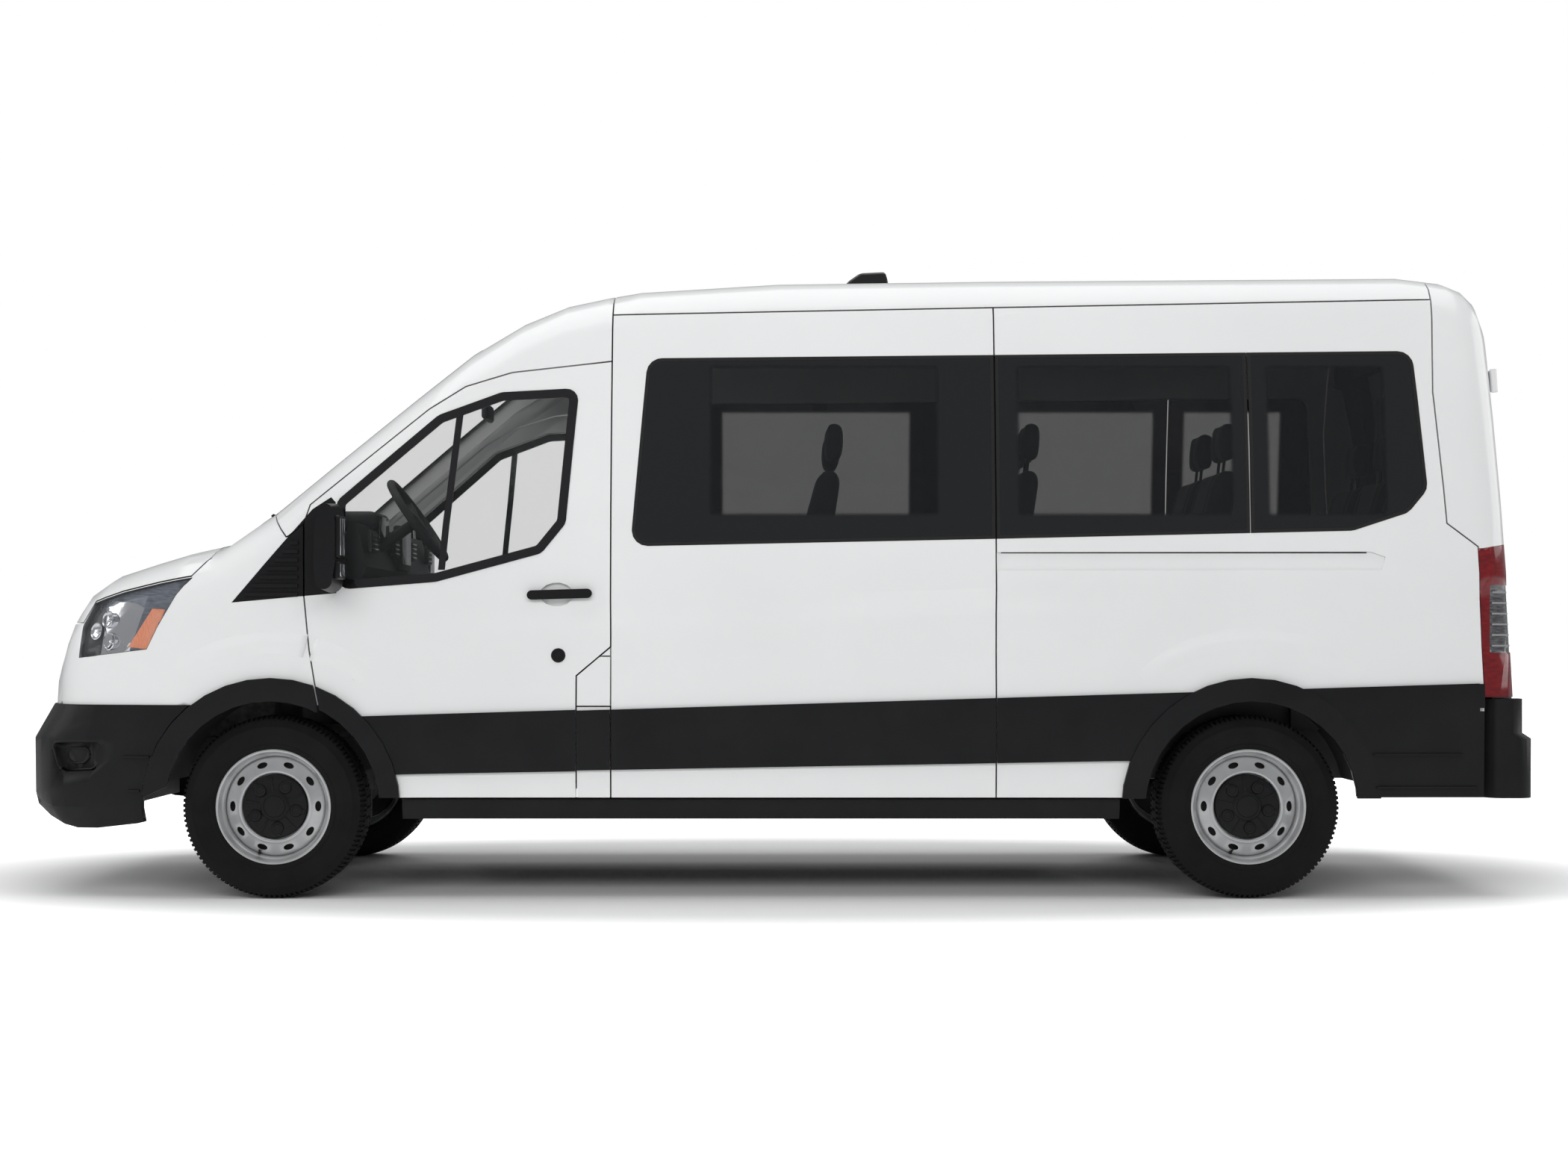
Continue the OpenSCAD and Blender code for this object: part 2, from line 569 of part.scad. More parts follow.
// Fixed glass, mouldings and trim
module pane(from, to) {
    intersection() {
        offset(delta = -seat_gap) window_band();
        translate([to + gap / 2, 0]) square([from - to - gap, roof_h]);
    }
}
module side_windows() color([0.05, 0.05, 0.06]) skin(0.5, glass_t) mirrored() from_left() {
    pane(x_b, x_c);
    pane(x_c, third_pane_x);
    pane(third_pane_x, x_back);
}
module body_mouldings() color([0.12, 0.12, 0.13]) {
    skin(-moulding_t, -seat_gap) {
        from_left() inset_by_gap() moulding_band(x_b + flap_w, x_b);
        mirrored() from_left() difference() {
            union() {
                inset_by_gap() moulding_band(x_b, x_c);
                inset_by_gap() moulding_band(x_c, x_back + 160);
                translate([x_back + 146, sill_h + 4]) square([x_ra - x_back - 300, 330]);
            }
            arch_circle(x_ra, arch_r + seat_gap);
        }
    }
    skin(-arch_t, -seat_gap) mirrored() from_left() {
        arch_ring(x_ra);
        difference() {
            intersection() {
                arch_ring(x_fa);
                polygon(concat([for (p = low_door_edge) [p[0] + gap, p[1]]],
                    [[hinge_x - 60 + gap, bumper_h - 42], [x_fa + arch_r, sill_h], [x_fa + arch_r,
                        low_door_edge[0][1]]]));
            }
        }
    }
    skin(1, wall / 2) mirrored() from_left() intersection() {
        inset_by_gap() fender_outline();
        offset(delta = -seat_gap) sail_outline();
    }
}
sill_size = [70, 76];
module side_sills() color([0.07, 0.07, 0.07]) mirrored() translate([x_ra + arch_r, half_w - 42, sill_h - 6])
    rotate([90, 0, 90]) linear_extrude(wheelbase - 2 * arch_r) polygon([[0, 0], [0, -30], [-16,
        -sill_size[1]],
        [-sill_size[0] - 40, -sill_size[1]], [-sill_size[0] - 40, 0], [-50, 0], [-50, 6 - seat_gap],
        [-30, 6 - seat_gap], [-30, 0]]);

// Posts, roof bows and sill rails behind the panels
frame_t = 40;
post_w = 90;
bow_foot = roof_edge_h - 140;
// A slice of the ring behind the panels at one section, between two heights, along the van
module ring_slice(x, length, s, low, high) {
    translate([x, 0, 0]) rotate([90, 0, 90]) linear_extrude(length) intersection() {
        difference() {
            polygon([for (p = section(s, wall + seat_gap)) [p[1], p[2]]]);
            polygon([for (p = section(s, wall + frame_t)) [p[1], p[2] > sill_h - 20 ? p[2] : p[2] - 50]]);
        }
        translate([-half_w, low]) square([body_w, high - low]);
    }
}
module body_frame() color("dimgray") {
    for (x = [x_b, x_c]) let (s = station(x + post_w / 2)) {
        ring_slice(x - post_w / 2, post_w, s, sill_h + post_w + seat_gap, bow_foot);
        ring_slice(x - post_w / 2, post_w, s, bow_foot + seat_gap, roof_h);
    }
    difference() {
        ring_slice(x_back + 300, x_b + post_w / 2 - x_back - 300, station(x_b + post_w / 2), sill_h,
            sill_h + post_w);
        translate([x_ra, -half_w, axle_z]) rotate([-90, 0, 0]) cylinder(r = arch_r - 40, h = body_w);
    }
    skin(wall + seat_gap, wall + frame_t) {
        both_sides() translate([hinge_x - 50, cowl_h - 590]) square([110, 560]);
        intersection() {
            from_rear() difference() {
                offset(delta = 45) rear_opening_outline();
                offset(delta = -frame_t) rear_opening_outline();
            }
            translate([x_back - 50, -reach, floor_z - floor_t + seat_gap]) cube([340, 2 * reach, roof_h]);
        }
    }
    skin(wall / 2 + seat_gap, wall / 2 + 30) both_sides() {
        translate([x_nose - 270, bumper_h + 20]) square([70, roof_h]);
        translate([hinge_x + 20, cowl_h - 410]) square([60, 330]);
    }
}

// Columns: height, inner and outer end of the hinge's plate from its axis
rear_hinge_table = [[floor_z + 50, -22, 48], [roof_h - 451, -50, 0]];
hinge_axis = [x_back - 14, half_w - 180];
module rear_hinges() color("gainsboro") mirrored() for (h = rear_hinge_table)
    translate([hinge_axis[0] + lean * (h[0] - lean_z), hinge_axis[1], h[0]]) rotate([0, atan(lean), 0]) {
        cylinder(r = 13, h = 90, center = true);
        translate([0, h[1], -40]) cube([13.6, h[2] - h[1], 80]);
    }
module rear_bumper() color([0.1, 0.1, 0.1]) {
    difference() {
        translate([0, 0, sill_h]) linear_extrude(220) bumper_plan(0);
        translate([0, 0, sill_h - 1]) linear_extrude(180) bumper_plan(40);
    }
    mirrored() translate([0, 0, sill_h + 220]) linear_extrude(lamp_low - 7 - sill_h - 220) intersection() {
        bumper_plan(0);
        translate([x_tail, lamp_in + gap]) square([400, 300]);
    }
}
module bumper_plan(t) {
    r = 70;
    difference() {
        hull() for (s = [1, -1]) {
            translate([x_tail + r + t, s * (half_w - 6 - r - t)]) circle(r = r);
            translate([x_back + 130 - r, s * (half_w - 6 - r - t)]) circle(r = r);
        }
        if (t == 0) translate([x_back + 20, -half_w + 90]) square([400, body_w - 180]);
    }
}
antenna_x = x_b - 1110;
function on_roof(x) = lookup(x, body_columns[2]) + seat_gap;
module antenna() color("black") translate([antenna_x, 30, on_roof(antenna_x)]) rotate([90, 0,
    0]) linear_extrude(60)
    polygon([[0, 0], [0, 48], [10, 62], [90, 62], [160, 48], [220, 8],
        [220, on_roof(antenna_x + 220) - on_roof(antenna_x)]]);

// Floor, chassis and drive
liner_r = axle_z + 78;
tub_y = track / 2 - tyre_w / 2 - 52.5;
floor_half = station(x_b + post_w / 2)[1] - wall - frame_t - tumble(floor_z - floor_t) - seat_gap;
gearbox = [x_fa - 405, 0, floor_z - 105];
gearbox_r = 100;
liner_in = rail_y + rail_size[0] + 116;
module floor_pan() color("dimgray") difference() {
    union() {
        translate([x_back + 120, -floor_half, floor_z - floor_t])
            cube([x_fa - liner_r - x_back - 120 + 20, 2 * floor_half, floor_t]);
        mirrored() for (x = [x_fa, x_ra]) translate([x, half_w - 82, axle_z]) rotate([90, 0, 0])
            cylinder(r = liner_r + 8, h = x == x_fa ? half_w - 82 - liner_in : half_w - 82 - tub_y);
        translate([x_fa + 60, -half_w + 110, floor_z - floor_t]) cube([20, body_w - 220,
            cowl_h - floor_z - 60]);
    }
    mirrored() translate([x_fa, half_w, axle_z]) rotate([90, 0, 0]) cylinder(r = liner_r,
        h = half_w - liner_in + 18);
    mirrored() translate([x_ra, half_w, axle_z]) rotate([90, 0, 0]) cylinder(r = liner_r,
        h = half_w - tub_y - 8);
    mirrored() translate([x_fa, kingpin_y - 130, axle_z]) cylinder(r = 58, h = 600);
    translate(gearbox) rotate([0, 90, 0]) cylinder(r = gearbox_r + 8, h = 600);
    translate([x_tail, -half_w, -liner_r]) cube([overall_len, body_w, liner_r + sill_h + 60]);
    // The floor is laid in two sheets, so that the rear one ends where the wheel tubs rise through it
    translate([x_ra + 0.8 * liner_r, -half_w, 0]) cube([seat_gap, body_w, roof_h]);
}
tow_eye_r = 10;
tow_eye_depth = 70;
module frame_rails() color("black") {
    translate([x_nose - 165, rail_y - 80, floor_z - floor_t - 75]) rotate([0, 90, 0]) difference() {
        cylinder(r = 22, h = tow_eye_depth + 5);
        translate([0, 0, 5]) cylinder(r = tow_eye_r, h = tow_eye_depth + 1);
    }
    for (s = [1, -1]) translate([x_back + 20 + seat_gap, s * rail_y + (s > 0 ? 0 : -rail_size[0]),
        floor_z - floor_t - rail_size[1]])
        cube([x_nose - 160 - x_back - 20 - seat_gap, rail_size[0], rail_size[1]]);
    for (x = [x_back + 200, x_ra + 620, x_c + 300, x_b - 100, x_b + 500, x_nose - 230])
        translate([x, -rail_y, floor_z - floor_t - rail_size[1] + 20]) cube([70, 2 * rail_y, 70]);
}
engine_low = floor_z - floor_t - rail_size[1];
engine_size = [front_overhang - 410, 2 * (rail_y - 100), cowl_h - 340 - engine_low];
module power_unit() color("gray") {
    translate([x_fa + 110, -engine_size[1] / 2, engine_low]) cube(engine_size);
    translate(gearbox) rotate([0, 90, 0]) cylinder(r = gearbox_r, h = x_fa + 120 - gearbox[0]);
    translate([x_nose - 215, 10 - rail_y, engine_low + 90 + seat_gap])
        cube([40, 2 * rail_y - 20, cowl_h - 510 - engine_low]);
}
module fuel_tank() color([0.1, 0.1, 0.1]) translate([x_c + 160, 70, floor_z - 340])
    cube([900, rail_y - 80, engine_low + 20 - seat_gap - floor_z + 340]);
exhaust_y = 215 - track / 2;
silencer_r = 105;
exhaust_z = floor_z - floor_t - silencer_r - seat_gap;
module exhaust() color("gray") {
    translate([x_ra - 850, exhaust_y, exhaust_z]) rotate([0, 90, 0]) cylinder(r = 30, h = 2850);
    translate([x_c + 100, exhaust_y, exhaust_z]) rotate([0, 90, 0]) cylinder(r = silencer_r, h = 620);
}
arm_z = axle_z - 130;
module front_suspension() color([0.15, 0.15, 0.15]) {
    difference() {
        translate([x_fa - 150, -rail_y - 80, engine_low - 140]) cube([300, 2 * rail_y + 160, 140 - seat_gap]);
        translate(gearbox) rotate([0, 90, 0]) cylinder(r = gearbox_r + 8, h = 800);
    }
    mirrored() {
        hull() {
            translate([x_fa, kingpin_y, arm_z - 20]) cylinder(r = 38, h = 36);
            translate([x_fa - 140, rail_y + 40, arm_z - 20]) cube([280, 20, 36]);
        }
        translate([x_fa - 140, rail_y + 20, arm_z - 20]) cube([280, 40, 140]);
        translate([x_fa, kingpin_y, arm_z - 10]) cylinder(r = kingpin_r, h = 76);
        translate([x_fa, kingpin_y - 130, engine_low + 90]) cylinder(r = 50, h = 330);
        translate([x_fa - 60, rail_y + rail_size[0] + seat_gap, engine_low + 90])
            cube([120, kingpin_y - 130 - rail_y - rail_size[0] - seat_gap, 60]);
    }
}
module knuckle(s) color("gray") mirror([0, s > 0 ? 0 : 1, 0]) difference() {
    union() {
        translate([x_fa, kingpin_y, arm_z + 16.4]) cylinder(r = 40, h = 250);
        translate([x_fa, kingpin_y, axle_z]) rotate([-90, 0, 0]) cylinder(r = 70, h = 60);
        translate([x_fa, kingpin_y, axle_z]) rotate([-90, 0, 0]) cylinder(r = spindle_r,
            h = kingpin_offset + 60);
    }
    translate([x_fa, kingpin_y, arm_z]) cylinder(r = kingpin_r + spindle_play, h = 70);
}
shaft_tilt = 1.4;
module rear_axle() color([0.12, 0.12, 0.12]) {
    translate([x_ra, 0, axle_z]) rotate([90, 0, 0]) cylinder(r = 52, h = track - 300, center = true);
    translate([x_ra, 0, axle_z]) rotate([90, 0, 0]) cylinder(r = spindle_r, h = track + 60, center = true);
    translate([x_ra, 0, axle_z]) rotate([90, 0, 0]) cylinder(r = 150, h = 190, center = true);
    translate([x_ra + 120, 0, axle_z + 8]) rotate([0, 90 - shaft_tilt, 0])
        cylinder(r = 40, h = (gearbox[0] - seat_gap - x_ra - 121) / cos(shaft_tilt));
}
spring_y = rail_y + 180;
spring_top = axle_z + 52 + seat_gap + 1268;
module leaf_springs() color([0.1, 0.1, 0.1]) mirrored() {
    difference() {
        translate([x_ra, spring_y + 35, spring_top]) rotate([90, 0, 0]) cylinder(r = 1268, h = 70, $fn = 160);
        translate([x_ra, spring_y + 36, spring_top]) rotate([90, 0, 0]) cylinder(r = 1230, h = 72, $fn = 160);
        translate([x_ra - 2000, spring_y - 50, floor_z - floor_t - seat_gap]) cube([4000, 100, 4000]);
        translate([x_ra - 2000, spring_y - 50, 0]) cube([1300, 100, 1000]);
        translate([x_ra + 700, spring_y - 50, 0]) cube([1300, 100, 1000]);
    }
}

// Wheels: the tyre's section and the pressed steel disc turn about the axle
module spin(x, s) { translate([x, s * track / 2, axle_z]) rotate([s > 0 ? -90 : 90, 0, 0]) children(); }
bead_r = rim_d / 2 - 18;
rim_half = 96;
flange_t = 12;
bead_play = 0.4;
tread_half = tyre_w / 2 - 20;
// Columns: share of the way from the rim to the tread, half width less than the widest
sidewall_table = [[0.06, 20], [0.2, 8], [0.42, 0], [0.62, 1], [0.8, 7], [0.92, 16]];
groove = [10, 9];
bead_half = rim_half - flange_t - bead_play;
cavity = [60, 66];
tyre_half_outline = concat([[bead_r + 6 + bead_play, cavity[1]], [bead_r + 6 + bead_play, bead_half],
    [rim_d / 2 + 1, bead_half]], [for (t = sidewall_table) [rim_d / 2 + t[0] * (axle_z - rim_d / 2),
        tyre_w / 2 - t[1]]],
    [[axle_z - 3, tread_half], [axle_z, tread_half - 20]]);
tread_outline = [for (y = [45, 0, -45]) each [[axle_z, y + groove[0] / 2], [axle_z - groove[1],
    y + groove[0] / 2],
    [axle_z - groove[1], y - groove[0] / 2], [axle_z, y - groove[0] / 2]]];
module tyre(x, s) color([0.05, 0.05, 0.05]) spin(x, s) rotate_extrude($fn = 96)
    polygon(concat(tyre_half_outline,
    tread_outline, [for (i = [len(tyre_half_outline) - 1 : -1 : 0]) [tyre_half_outline[i][0],
        -tyre_half_outline[i][1]]],
    [[bead_r + cavity[0], -cavity[1]], [bead_r + cavity[0], cavity[1]]]));
disc_out = 58;
bowl_r = bead_r - 73;
vent_r = (bead_r + bowl_r) / 2 + 1.5;
vent_hole_r = 14;
module wheel(x, s) color("silver") spin(x, s) {
    rotate_extrude($fn = 96) polygon([[rim_d / 2, rim_half - flange_t], [rim_d / 2, rim_half], [bead_r - 4,
        rim_half],
        [bead_r - 4, -rim_half], [rim_d / 2, -rim_half], [rim_d / 2, flange_t - rim_half],
        [bead_r + 6, flange_t - rim_half], [bead_r + 6, rim_half - flange_t]]);
    difference() {
        union() {
            translate([0, 0, disc_out - 24]) cylinder(r = bead_r, h = 10);
            translate([0, 0, disc_out - 14]) cylinder(r1 = bead_r - 12, r2 = bowl_r + 12, h = 14);
            translate([0, 0, disc_out - 66]) cylinder(r = bowl_r, h = 66);
        }
        translate([0, 0, disc_out - 26]) cylinder(r1 = bead_r - 22, r2 = bowl_r + 2, h = 16);
        translate([0, 0, disc_out - 54]) cylinder(r = bowl_r - 8, h = 80);
        translate([0, 0, disc_out - 80]) cylinder(r = spindle_r + spindle_play, h = 100);
        for (i = [0 : vent_count - 1]) rotate([0, 0, i * 360 / vent_count])
            translate([vent_r, 0, disc_out - 60]) cylinder(r = vent_hole_r, h = 100);
    }
    translate([0, 0, disc_out - 66]) difference() {
        cylinder(r = bowl_r + 1, h = 57);
        translate([0, 0, -1]) cylinder(r = bowl_r - 8, h = 60);
    }
    translate([0, 0, disc_out - 4]) difference() {
        union() {
            cylinder(r = bowl_r - 6, h = 14);
            for (i = [0 : 4]) rotate([0, 0, i * 72]) translate([bowl_r - 48, 0, 12]) cylinder(r1 = 26,
                r2 = 20, h = 8);
            translate([0, 0, 12]) cylinder(r1 = 52, r2 = 44, h = 12);
        }
        translate([0, 0, -1]) cylinder(r = bowl_r - 16, h = 10);
    }
}

// Inside of the cab and the passenger room
seat_y = half_w - 588;
wheel_centre = [x_fa - 470, seat_y - 30, cowl_h + 70];
column_tilt = 55;
column_r = 22;
module dashboard() color([0.1, 0.1, 0.1]) difference() {
    translate([0, half_w - 170, 0]) rotate([90, 0, 0]) linear_extrude(body_w - 340)
        polygon([for (p = [[59.6, -510], [59.6, -20], [-120, 52], [-300, 40], [-340, -130], [-240, -350],
            [-120, -510]]) [x_fa + p[0], cowl_h + p[1]]]);
    translate(wheel_centre) rotate([0, -column_tilt, 0]) translate([0, 0, -320])
        cylinder(r = column_r + spindle_play, h = 300);
}
module steering_wheel() color("black") translate(wheel_centre) rotate([0, -column_tilt, 0]) {
    rotate_extrude() translate([185, 0]) circle(r = 16);
    for (a = [0, 120, 240]) rotate([0, 0, a + 60]) translate([0, -14, -10]) cube([180, 28, 18]);
    translate([0, 0, -30]) cylinder(r = 50, h = 40);
    translate([0, 0, -260]) cylinder(r = column_r, h = 250);
}
// Seats: cushion and back, headrest on its post, and the base on the floor
module seat(x, y, w) {
    translate([x, y + w / 2, floor_z]) rotate([90, 0, 0]) linear_extrude(w) {
        rounded(30) polygon([[-60, 320], [480, 345], [505, 400], [485, 455], [430, 462], [60, 425], [-80,
            440]]);
        rounded(30) polygon([[-85, 330], [0, 330], [60, 440], [-105, 1045], [-190, 1035]]);
    }
    translate([x, y + 130, floor_z]) rotate([90, 0, 0]) linear_extrude(260)
        rounded(24) polygon([[-120, 1060], [-130, 1225], [-205, 1215], [-195, 1055]]);
    translate([x - 165, y - 60, floor_z + 1015]) cube([20, 120, 60]);
    translate([x + 40, y - 180, floor_z]) cube([360, 160, 340]);
}
module front_seats() color("dimgray") for (y = [seat_y, -seat_y]) seat(x_fa - 1120, y, 500);
row_pitch = 780;
seat_space = 30;
window_space = 183;
aisle_space = 200;
seat_w = (body_w - 2 * window_space - 2 * seat_space - aisle_space) / 3;
last_row_x = x_back + 445;
row_count = floor((x_b - 700 - last_row_x) / row_pitch + 0.01) + 1;
module rear_seats() color("dimgray") for (i = [0 : row_count - 1]) for (k = [0 : i == 0 ? 2 : 1])
    seat(last_row_x + i * row_pitch, half_w - window_space - seat_w / 2 - k * (seat_w + seat_space), seat_w);

floor_pan();
frame_rails();
power_unit();
fuel_tank();
exhaust();
front_suspension();
rear_axle();
leaf_springs();
body_frame();
roof();
cab_upper();
side_panel_left();
quarter_left();
quarter_right();
sliding_door();
rear_corner_frame();
fenders();
grille();
front_bumper();
rear_bumper();
headlamps();
tail_lamps();
windscreen();
cowl();
side_windows();
body_mouldings();
side_sills();
rear_hinges();
antenna();
dashboard();
front_seats();
rear_seats();
hood();
fuel_flap();
front_door(1);  // front_door_left
front_door(-1);  // front_door_right
front_glass(1);  // front_glass_left
front_glass(-1);  // front_glass_right
door_fittings(1);  // door_fittings_left
door_fittings(-1);  // door_fittings_right
rear_door(1);  // rear_door_left
rear_door(-1);  // rear_door_right
rear_glass(1);  // rear_glass_left
rear_glass(-1);  // rear_glass_right
steering_wheel();
knuckle(1);  // knuckle_left
knuckle(-1);  // knuckle_right
wheel(x_fa, 1);  // wheel_front_left
wheel(x_fa, -1);  // wheel_front_right
wheel(x_ra, 1);  // wheel_rear_left
wheel(x_ra, -1);  // wheel_rear_right
tyre(x_fa, 1);  // tyre_front_left
tyre(x_fa, -1);  // tyre_front_right
tyre(x_ra, 1);  // tyre_rear_left
tyre(x_ra, -1);  // tyre_rear_right
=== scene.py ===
import json
from math import atan2, cos, exp, hypot, pi, radians, sin
import bpy
import bmesh
from mathutils import Matrix, Vector
from mathutils.bvhtree import BVHTree


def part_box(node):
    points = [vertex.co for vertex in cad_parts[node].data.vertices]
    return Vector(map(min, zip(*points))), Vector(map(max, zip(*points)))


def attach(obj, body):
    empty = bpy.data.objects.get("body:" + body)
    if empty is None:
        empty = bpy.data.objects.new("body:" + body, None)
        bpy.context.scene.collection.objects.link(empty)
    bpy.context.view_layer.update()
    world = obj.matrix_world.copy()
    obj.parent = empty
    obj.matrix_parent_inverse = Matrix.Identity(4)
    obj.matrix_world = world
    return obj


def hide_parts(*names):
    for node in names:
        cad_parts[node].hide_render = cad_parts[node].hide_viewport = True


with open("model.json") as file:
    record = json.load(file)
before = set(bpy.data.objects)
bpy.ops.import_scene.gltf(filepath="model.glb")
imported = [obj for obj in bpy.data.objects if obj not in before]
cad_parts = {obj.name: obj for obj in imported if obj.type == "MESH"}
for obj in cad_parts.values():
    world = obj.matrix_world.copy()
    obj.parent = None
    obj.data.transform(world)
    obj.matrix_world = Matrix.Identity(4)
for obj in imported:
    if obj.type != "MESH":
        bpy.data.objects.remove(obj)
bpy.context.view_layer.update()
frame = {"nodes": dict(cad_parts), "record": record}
nodes = frame["nodes"]
scene = bpy.context.scene
OUT = Vector((0, 1, 0))
UP = Vector((0, 0, 1))
AHEAD = Vector((1, 0, 0))


# Finishes

def finish(name, colour, roughness=0.5, metallic=0.0, **sockets):
    """A new material with a Principled shader and its fixed values."""
    mat = bpy.data.materials.new(name)
    mat.use_nodes = True
    shader = mat.node_tree.nodes["Principled BSDF"]
    shader.inputs["Base Color"].default_value = (*colour, 1.0)
    shader.inputs["Roughness"].default_value = roughness
    shader.inputs["Metallic"].default_value = metallic
    for socket, value in sockets.items():
        shader.inputs[socket.replace("_", " ")].default_value = value
    return mat


def noise_on(mat, scale, detail=3.0, stretch=(1, 1, 1)):
    """Noise on the piece's own coordinates."""
    tree = mat.node_tree
    place = tree.nodes.new("ShaderNodeTexCoord")
    turn = tree.nodes.new("ShaderNodeMapping")
    turn.inputs["Scale"].default_value = stretch
    noise = tree.nodes.new("ShaderNodeTexNoise")
    noise.inputs["Scale"].default_value = scale
    noise.inputs["Detail"].default_value = detail
    tree.links.new(place.outputs["Object"], turn.inputs["Vector"])
    tree.links.new(turn.outputs["Vector"], noise.inputs["Vector"])
    return noise.outputs["Fac"]


def bumped(mat, height, strength, distance):
    """Lets a height stand out on the surface."""
    tree = mat.node_tree
    bump = tree.nodes.new("ShaderNodeBump")
    bump.inputs["Strength"].default_value = strength
    bump.inputs["Distance"].default_value = distance
    tree.links.new(height, bump.inputs["Height"])
    tree.links.new(bump.outputs["Normal"], tree.nodes["Principled BSDF"].inputs["Normal"])
    return mat


def grain(mat, scale, strength, distance=0.001, detail=2.0):
    """Fine moulded or cast grain."""
    return bumped(mat, noise_on(mat, scale, detail), strength, distance)


def mottle(mat, scale, low, high, socket="Base Color", contrast=(0.3, 0.7), stretch=(1, 1, 1)):
    """Slow change of a colour or a number over the surface."""
    tree = mat.node_tree
    ramp = tree.nodes.new("ShaderNodeValToRGB")
    for end, value, stop in zip(ramp.color_ramp.elements, (low, high), contrast):
        end.position = stop
        end.color = (*value, 1.0) if isinstance(value, tuple) else (value, value, value, 1.0)
    tree.links.new(noise_on(mat, scale, 5.0, stretch), ramp.inputs["Fac"])
    tree.links.new(ramp.outputs["Color"], tree.nodes["Principled BSDF"].inputs[socket])
    return mat


def see_through_areas(mat, spans, low, high, clear, dark):
    """A dark printed border round the see-through middle of each pane."""
    tree = mat.node_tree
    place = tree.nodes.new("ShaderNodeTexCoord")
    axes = tree.nodes.new("ShaderNodeSeparateXYZ")
    tree.links.new(place.outputs["Object"], axes.inputs["Vector"])

    def ramp(axis, start, end):
        step = tree.nodes.new("ShaderNodeMapRange")
        step.interpolation_type = "SMOOTHSTEP"
        step.inputs["From Min"].default_value = start
        step.inputs["From Max"].default_value = end
        tree.links.new(axes.outputs[axis], step.inputs["Value"])
        return step.outputs["Result"]

    def join(kind, a, b):
        math = tree.nodes.new("ShaderNodeMath")
        math.operation = kind
        tree.links.new(a, math.inputs[0])
        tree.links.new(b, math.inputs[1])
        return math.outputs["Value"]

    soft = 0.012
    area = None
    for rear, front in spans:
        pane = join("MULTIPLY", ramp("X", rear - soft, rear + soft), ramp("X", front + soft, front - soft))
        area = pane if area is None else join("MAXIMUM", area, pane)
    height = join("MULTIPLY", ramp("Z", low - soft, low + soft), ramp("Z", high + soft, high - soft))
    area = join("MULTIPLY", area, height)
    tint = tree.nodes.new("ShaderNodeMapRange")
    tint.inputs["To Min"].default_value = dark
    tint.inputs["To Max"].default_value = clear
    tree.links.new(area, tint.inputs["Value"])
    tree.links.new(tint.outputs["Result"], tree.nodes["Principled BSDF"].inputs["Alpha"])
    return mat


white_paint = finish("white_paint", (0.80, 0.81, 0.81), 0.3, Coat_Weight=0.6, Coat_Roughness=0.05)
mottle(white_paint, 1.3, (0.785, 0.79, 0.79), (0.815, 0.82, 0.82))
grain(white_paint, 420.0, 0.012, 0.0004)
black_trim = finish("grained_black_plastic", (0.008, 0.0082, 0.009), 0.42, Specular_IOR_Level=0.22)
mottle(black_trim, 5.0, (0.0065, 0.0067, 0.0075), (0.0095, 0.0097, 0.0105))
grain(black_trim, 900.0, 0.3, 0.0005)
gloss_black = finish("gloss_black_plastic", (0.006, 0.006, 0.007), 0.16, Coat_Weight=0.4)
mottle(gloss_black, 30.0, 0.12, 0.2, "Roughness")
sealing_rubber = finish("sealing_rubber", (0.008, 0.008, 0.008), 0.6)
mottle(sealing_rubber, 60.0, 0.52, 0.68, "Roughness")
privacy_glass = finish("privacy_glass", (0.012, 0.013, 0.014), 0.03, Specular_IOR_Level=0.4)
mottle(privacy_glass, 2.2, 0.02, 0.05, "Roughness")
pane_spans = ((-0.64, 0.234), (-1.77, -0.95), (-2.36, -1.91))
PANE_LOW = 1.475
PANE_HIGH = 2.05
see_through_areas(privacy_glass, pane_spans, PANE_LOW, PANE_HIGH, clear=0.48, dark=0.985)
clear_glass = finish("tinted_glass", (0.05, 0.055, 0.055), 0.02, Alpha=0.11, Specular_IOR_Level=0.6)
mottle(clear_glass, 2.0, 0.015, 0.04, "Roughness")
rubber = finish("tyre_rubber", (0.006, 0.006, 0.0062), 0.72, Specular_IOR_Level=0.2)
mottle(rubber, 9.0, (0.005, 0.005, 0.0051), (0.0078, 0.0076, 0.0075))
grain(rubber, 500.0, 0.2, 0.0005)
wheel_silver = finish("silver_wheel_paint", (0.56, 0.565, 0.57), 0.33, 0.72)
mottle(wheel_silver, 12.0, (0.52, 0.525, 0.53), (0.6, 0.605, 0.61))
grain(wheel_silver, 900.0, 0.06, 0.0003)
chrome = finish("lamp_reflector", (0.82, 0.83, 0.85), 0.09, 1.0)
mottle(chrome, 20.0, 0.07, 0.14, "Roughness")
lamp_lens = finish("clear_lamp_lens", (0.3, 0.32, 0.35), 0.03, Alpha=0.06, Specular_IOR_Level=0.7)
mottle(lamp_lens, 6.0, 0.02, 0.05, "Roughness")
lamp_housing = finish("lamp_housing", (0.012, 0.013, 0.014), 0.3)
mottle(lamp_housing, 24.0, 0.24, 0.38, "Roughness")
lamp_veil = finish("lamp_inner_veil", (0.16, 0.17, 0.2), 0.25, 0.5)
mottle(lamp_veil, 30.0, (0.09, 0.1, 0.13), (0.24, 0.26, 0.3), stretch=(1, 1, 6))
lamp_amber = finish("amber_lens", (0.75, 0.24, 0.11), 0.2, Coat_Weight=0.6)
mottle(lamp_amber, 40.0, (0.68, 0.2, 0.09), (0.82, 0.33, 0.18), stretch=(8, 1, 1))
lamp_red = finish("red_lamp_lens", (0.16, 0.003, 0.006), 0.1, Coat_Weight=0.4)
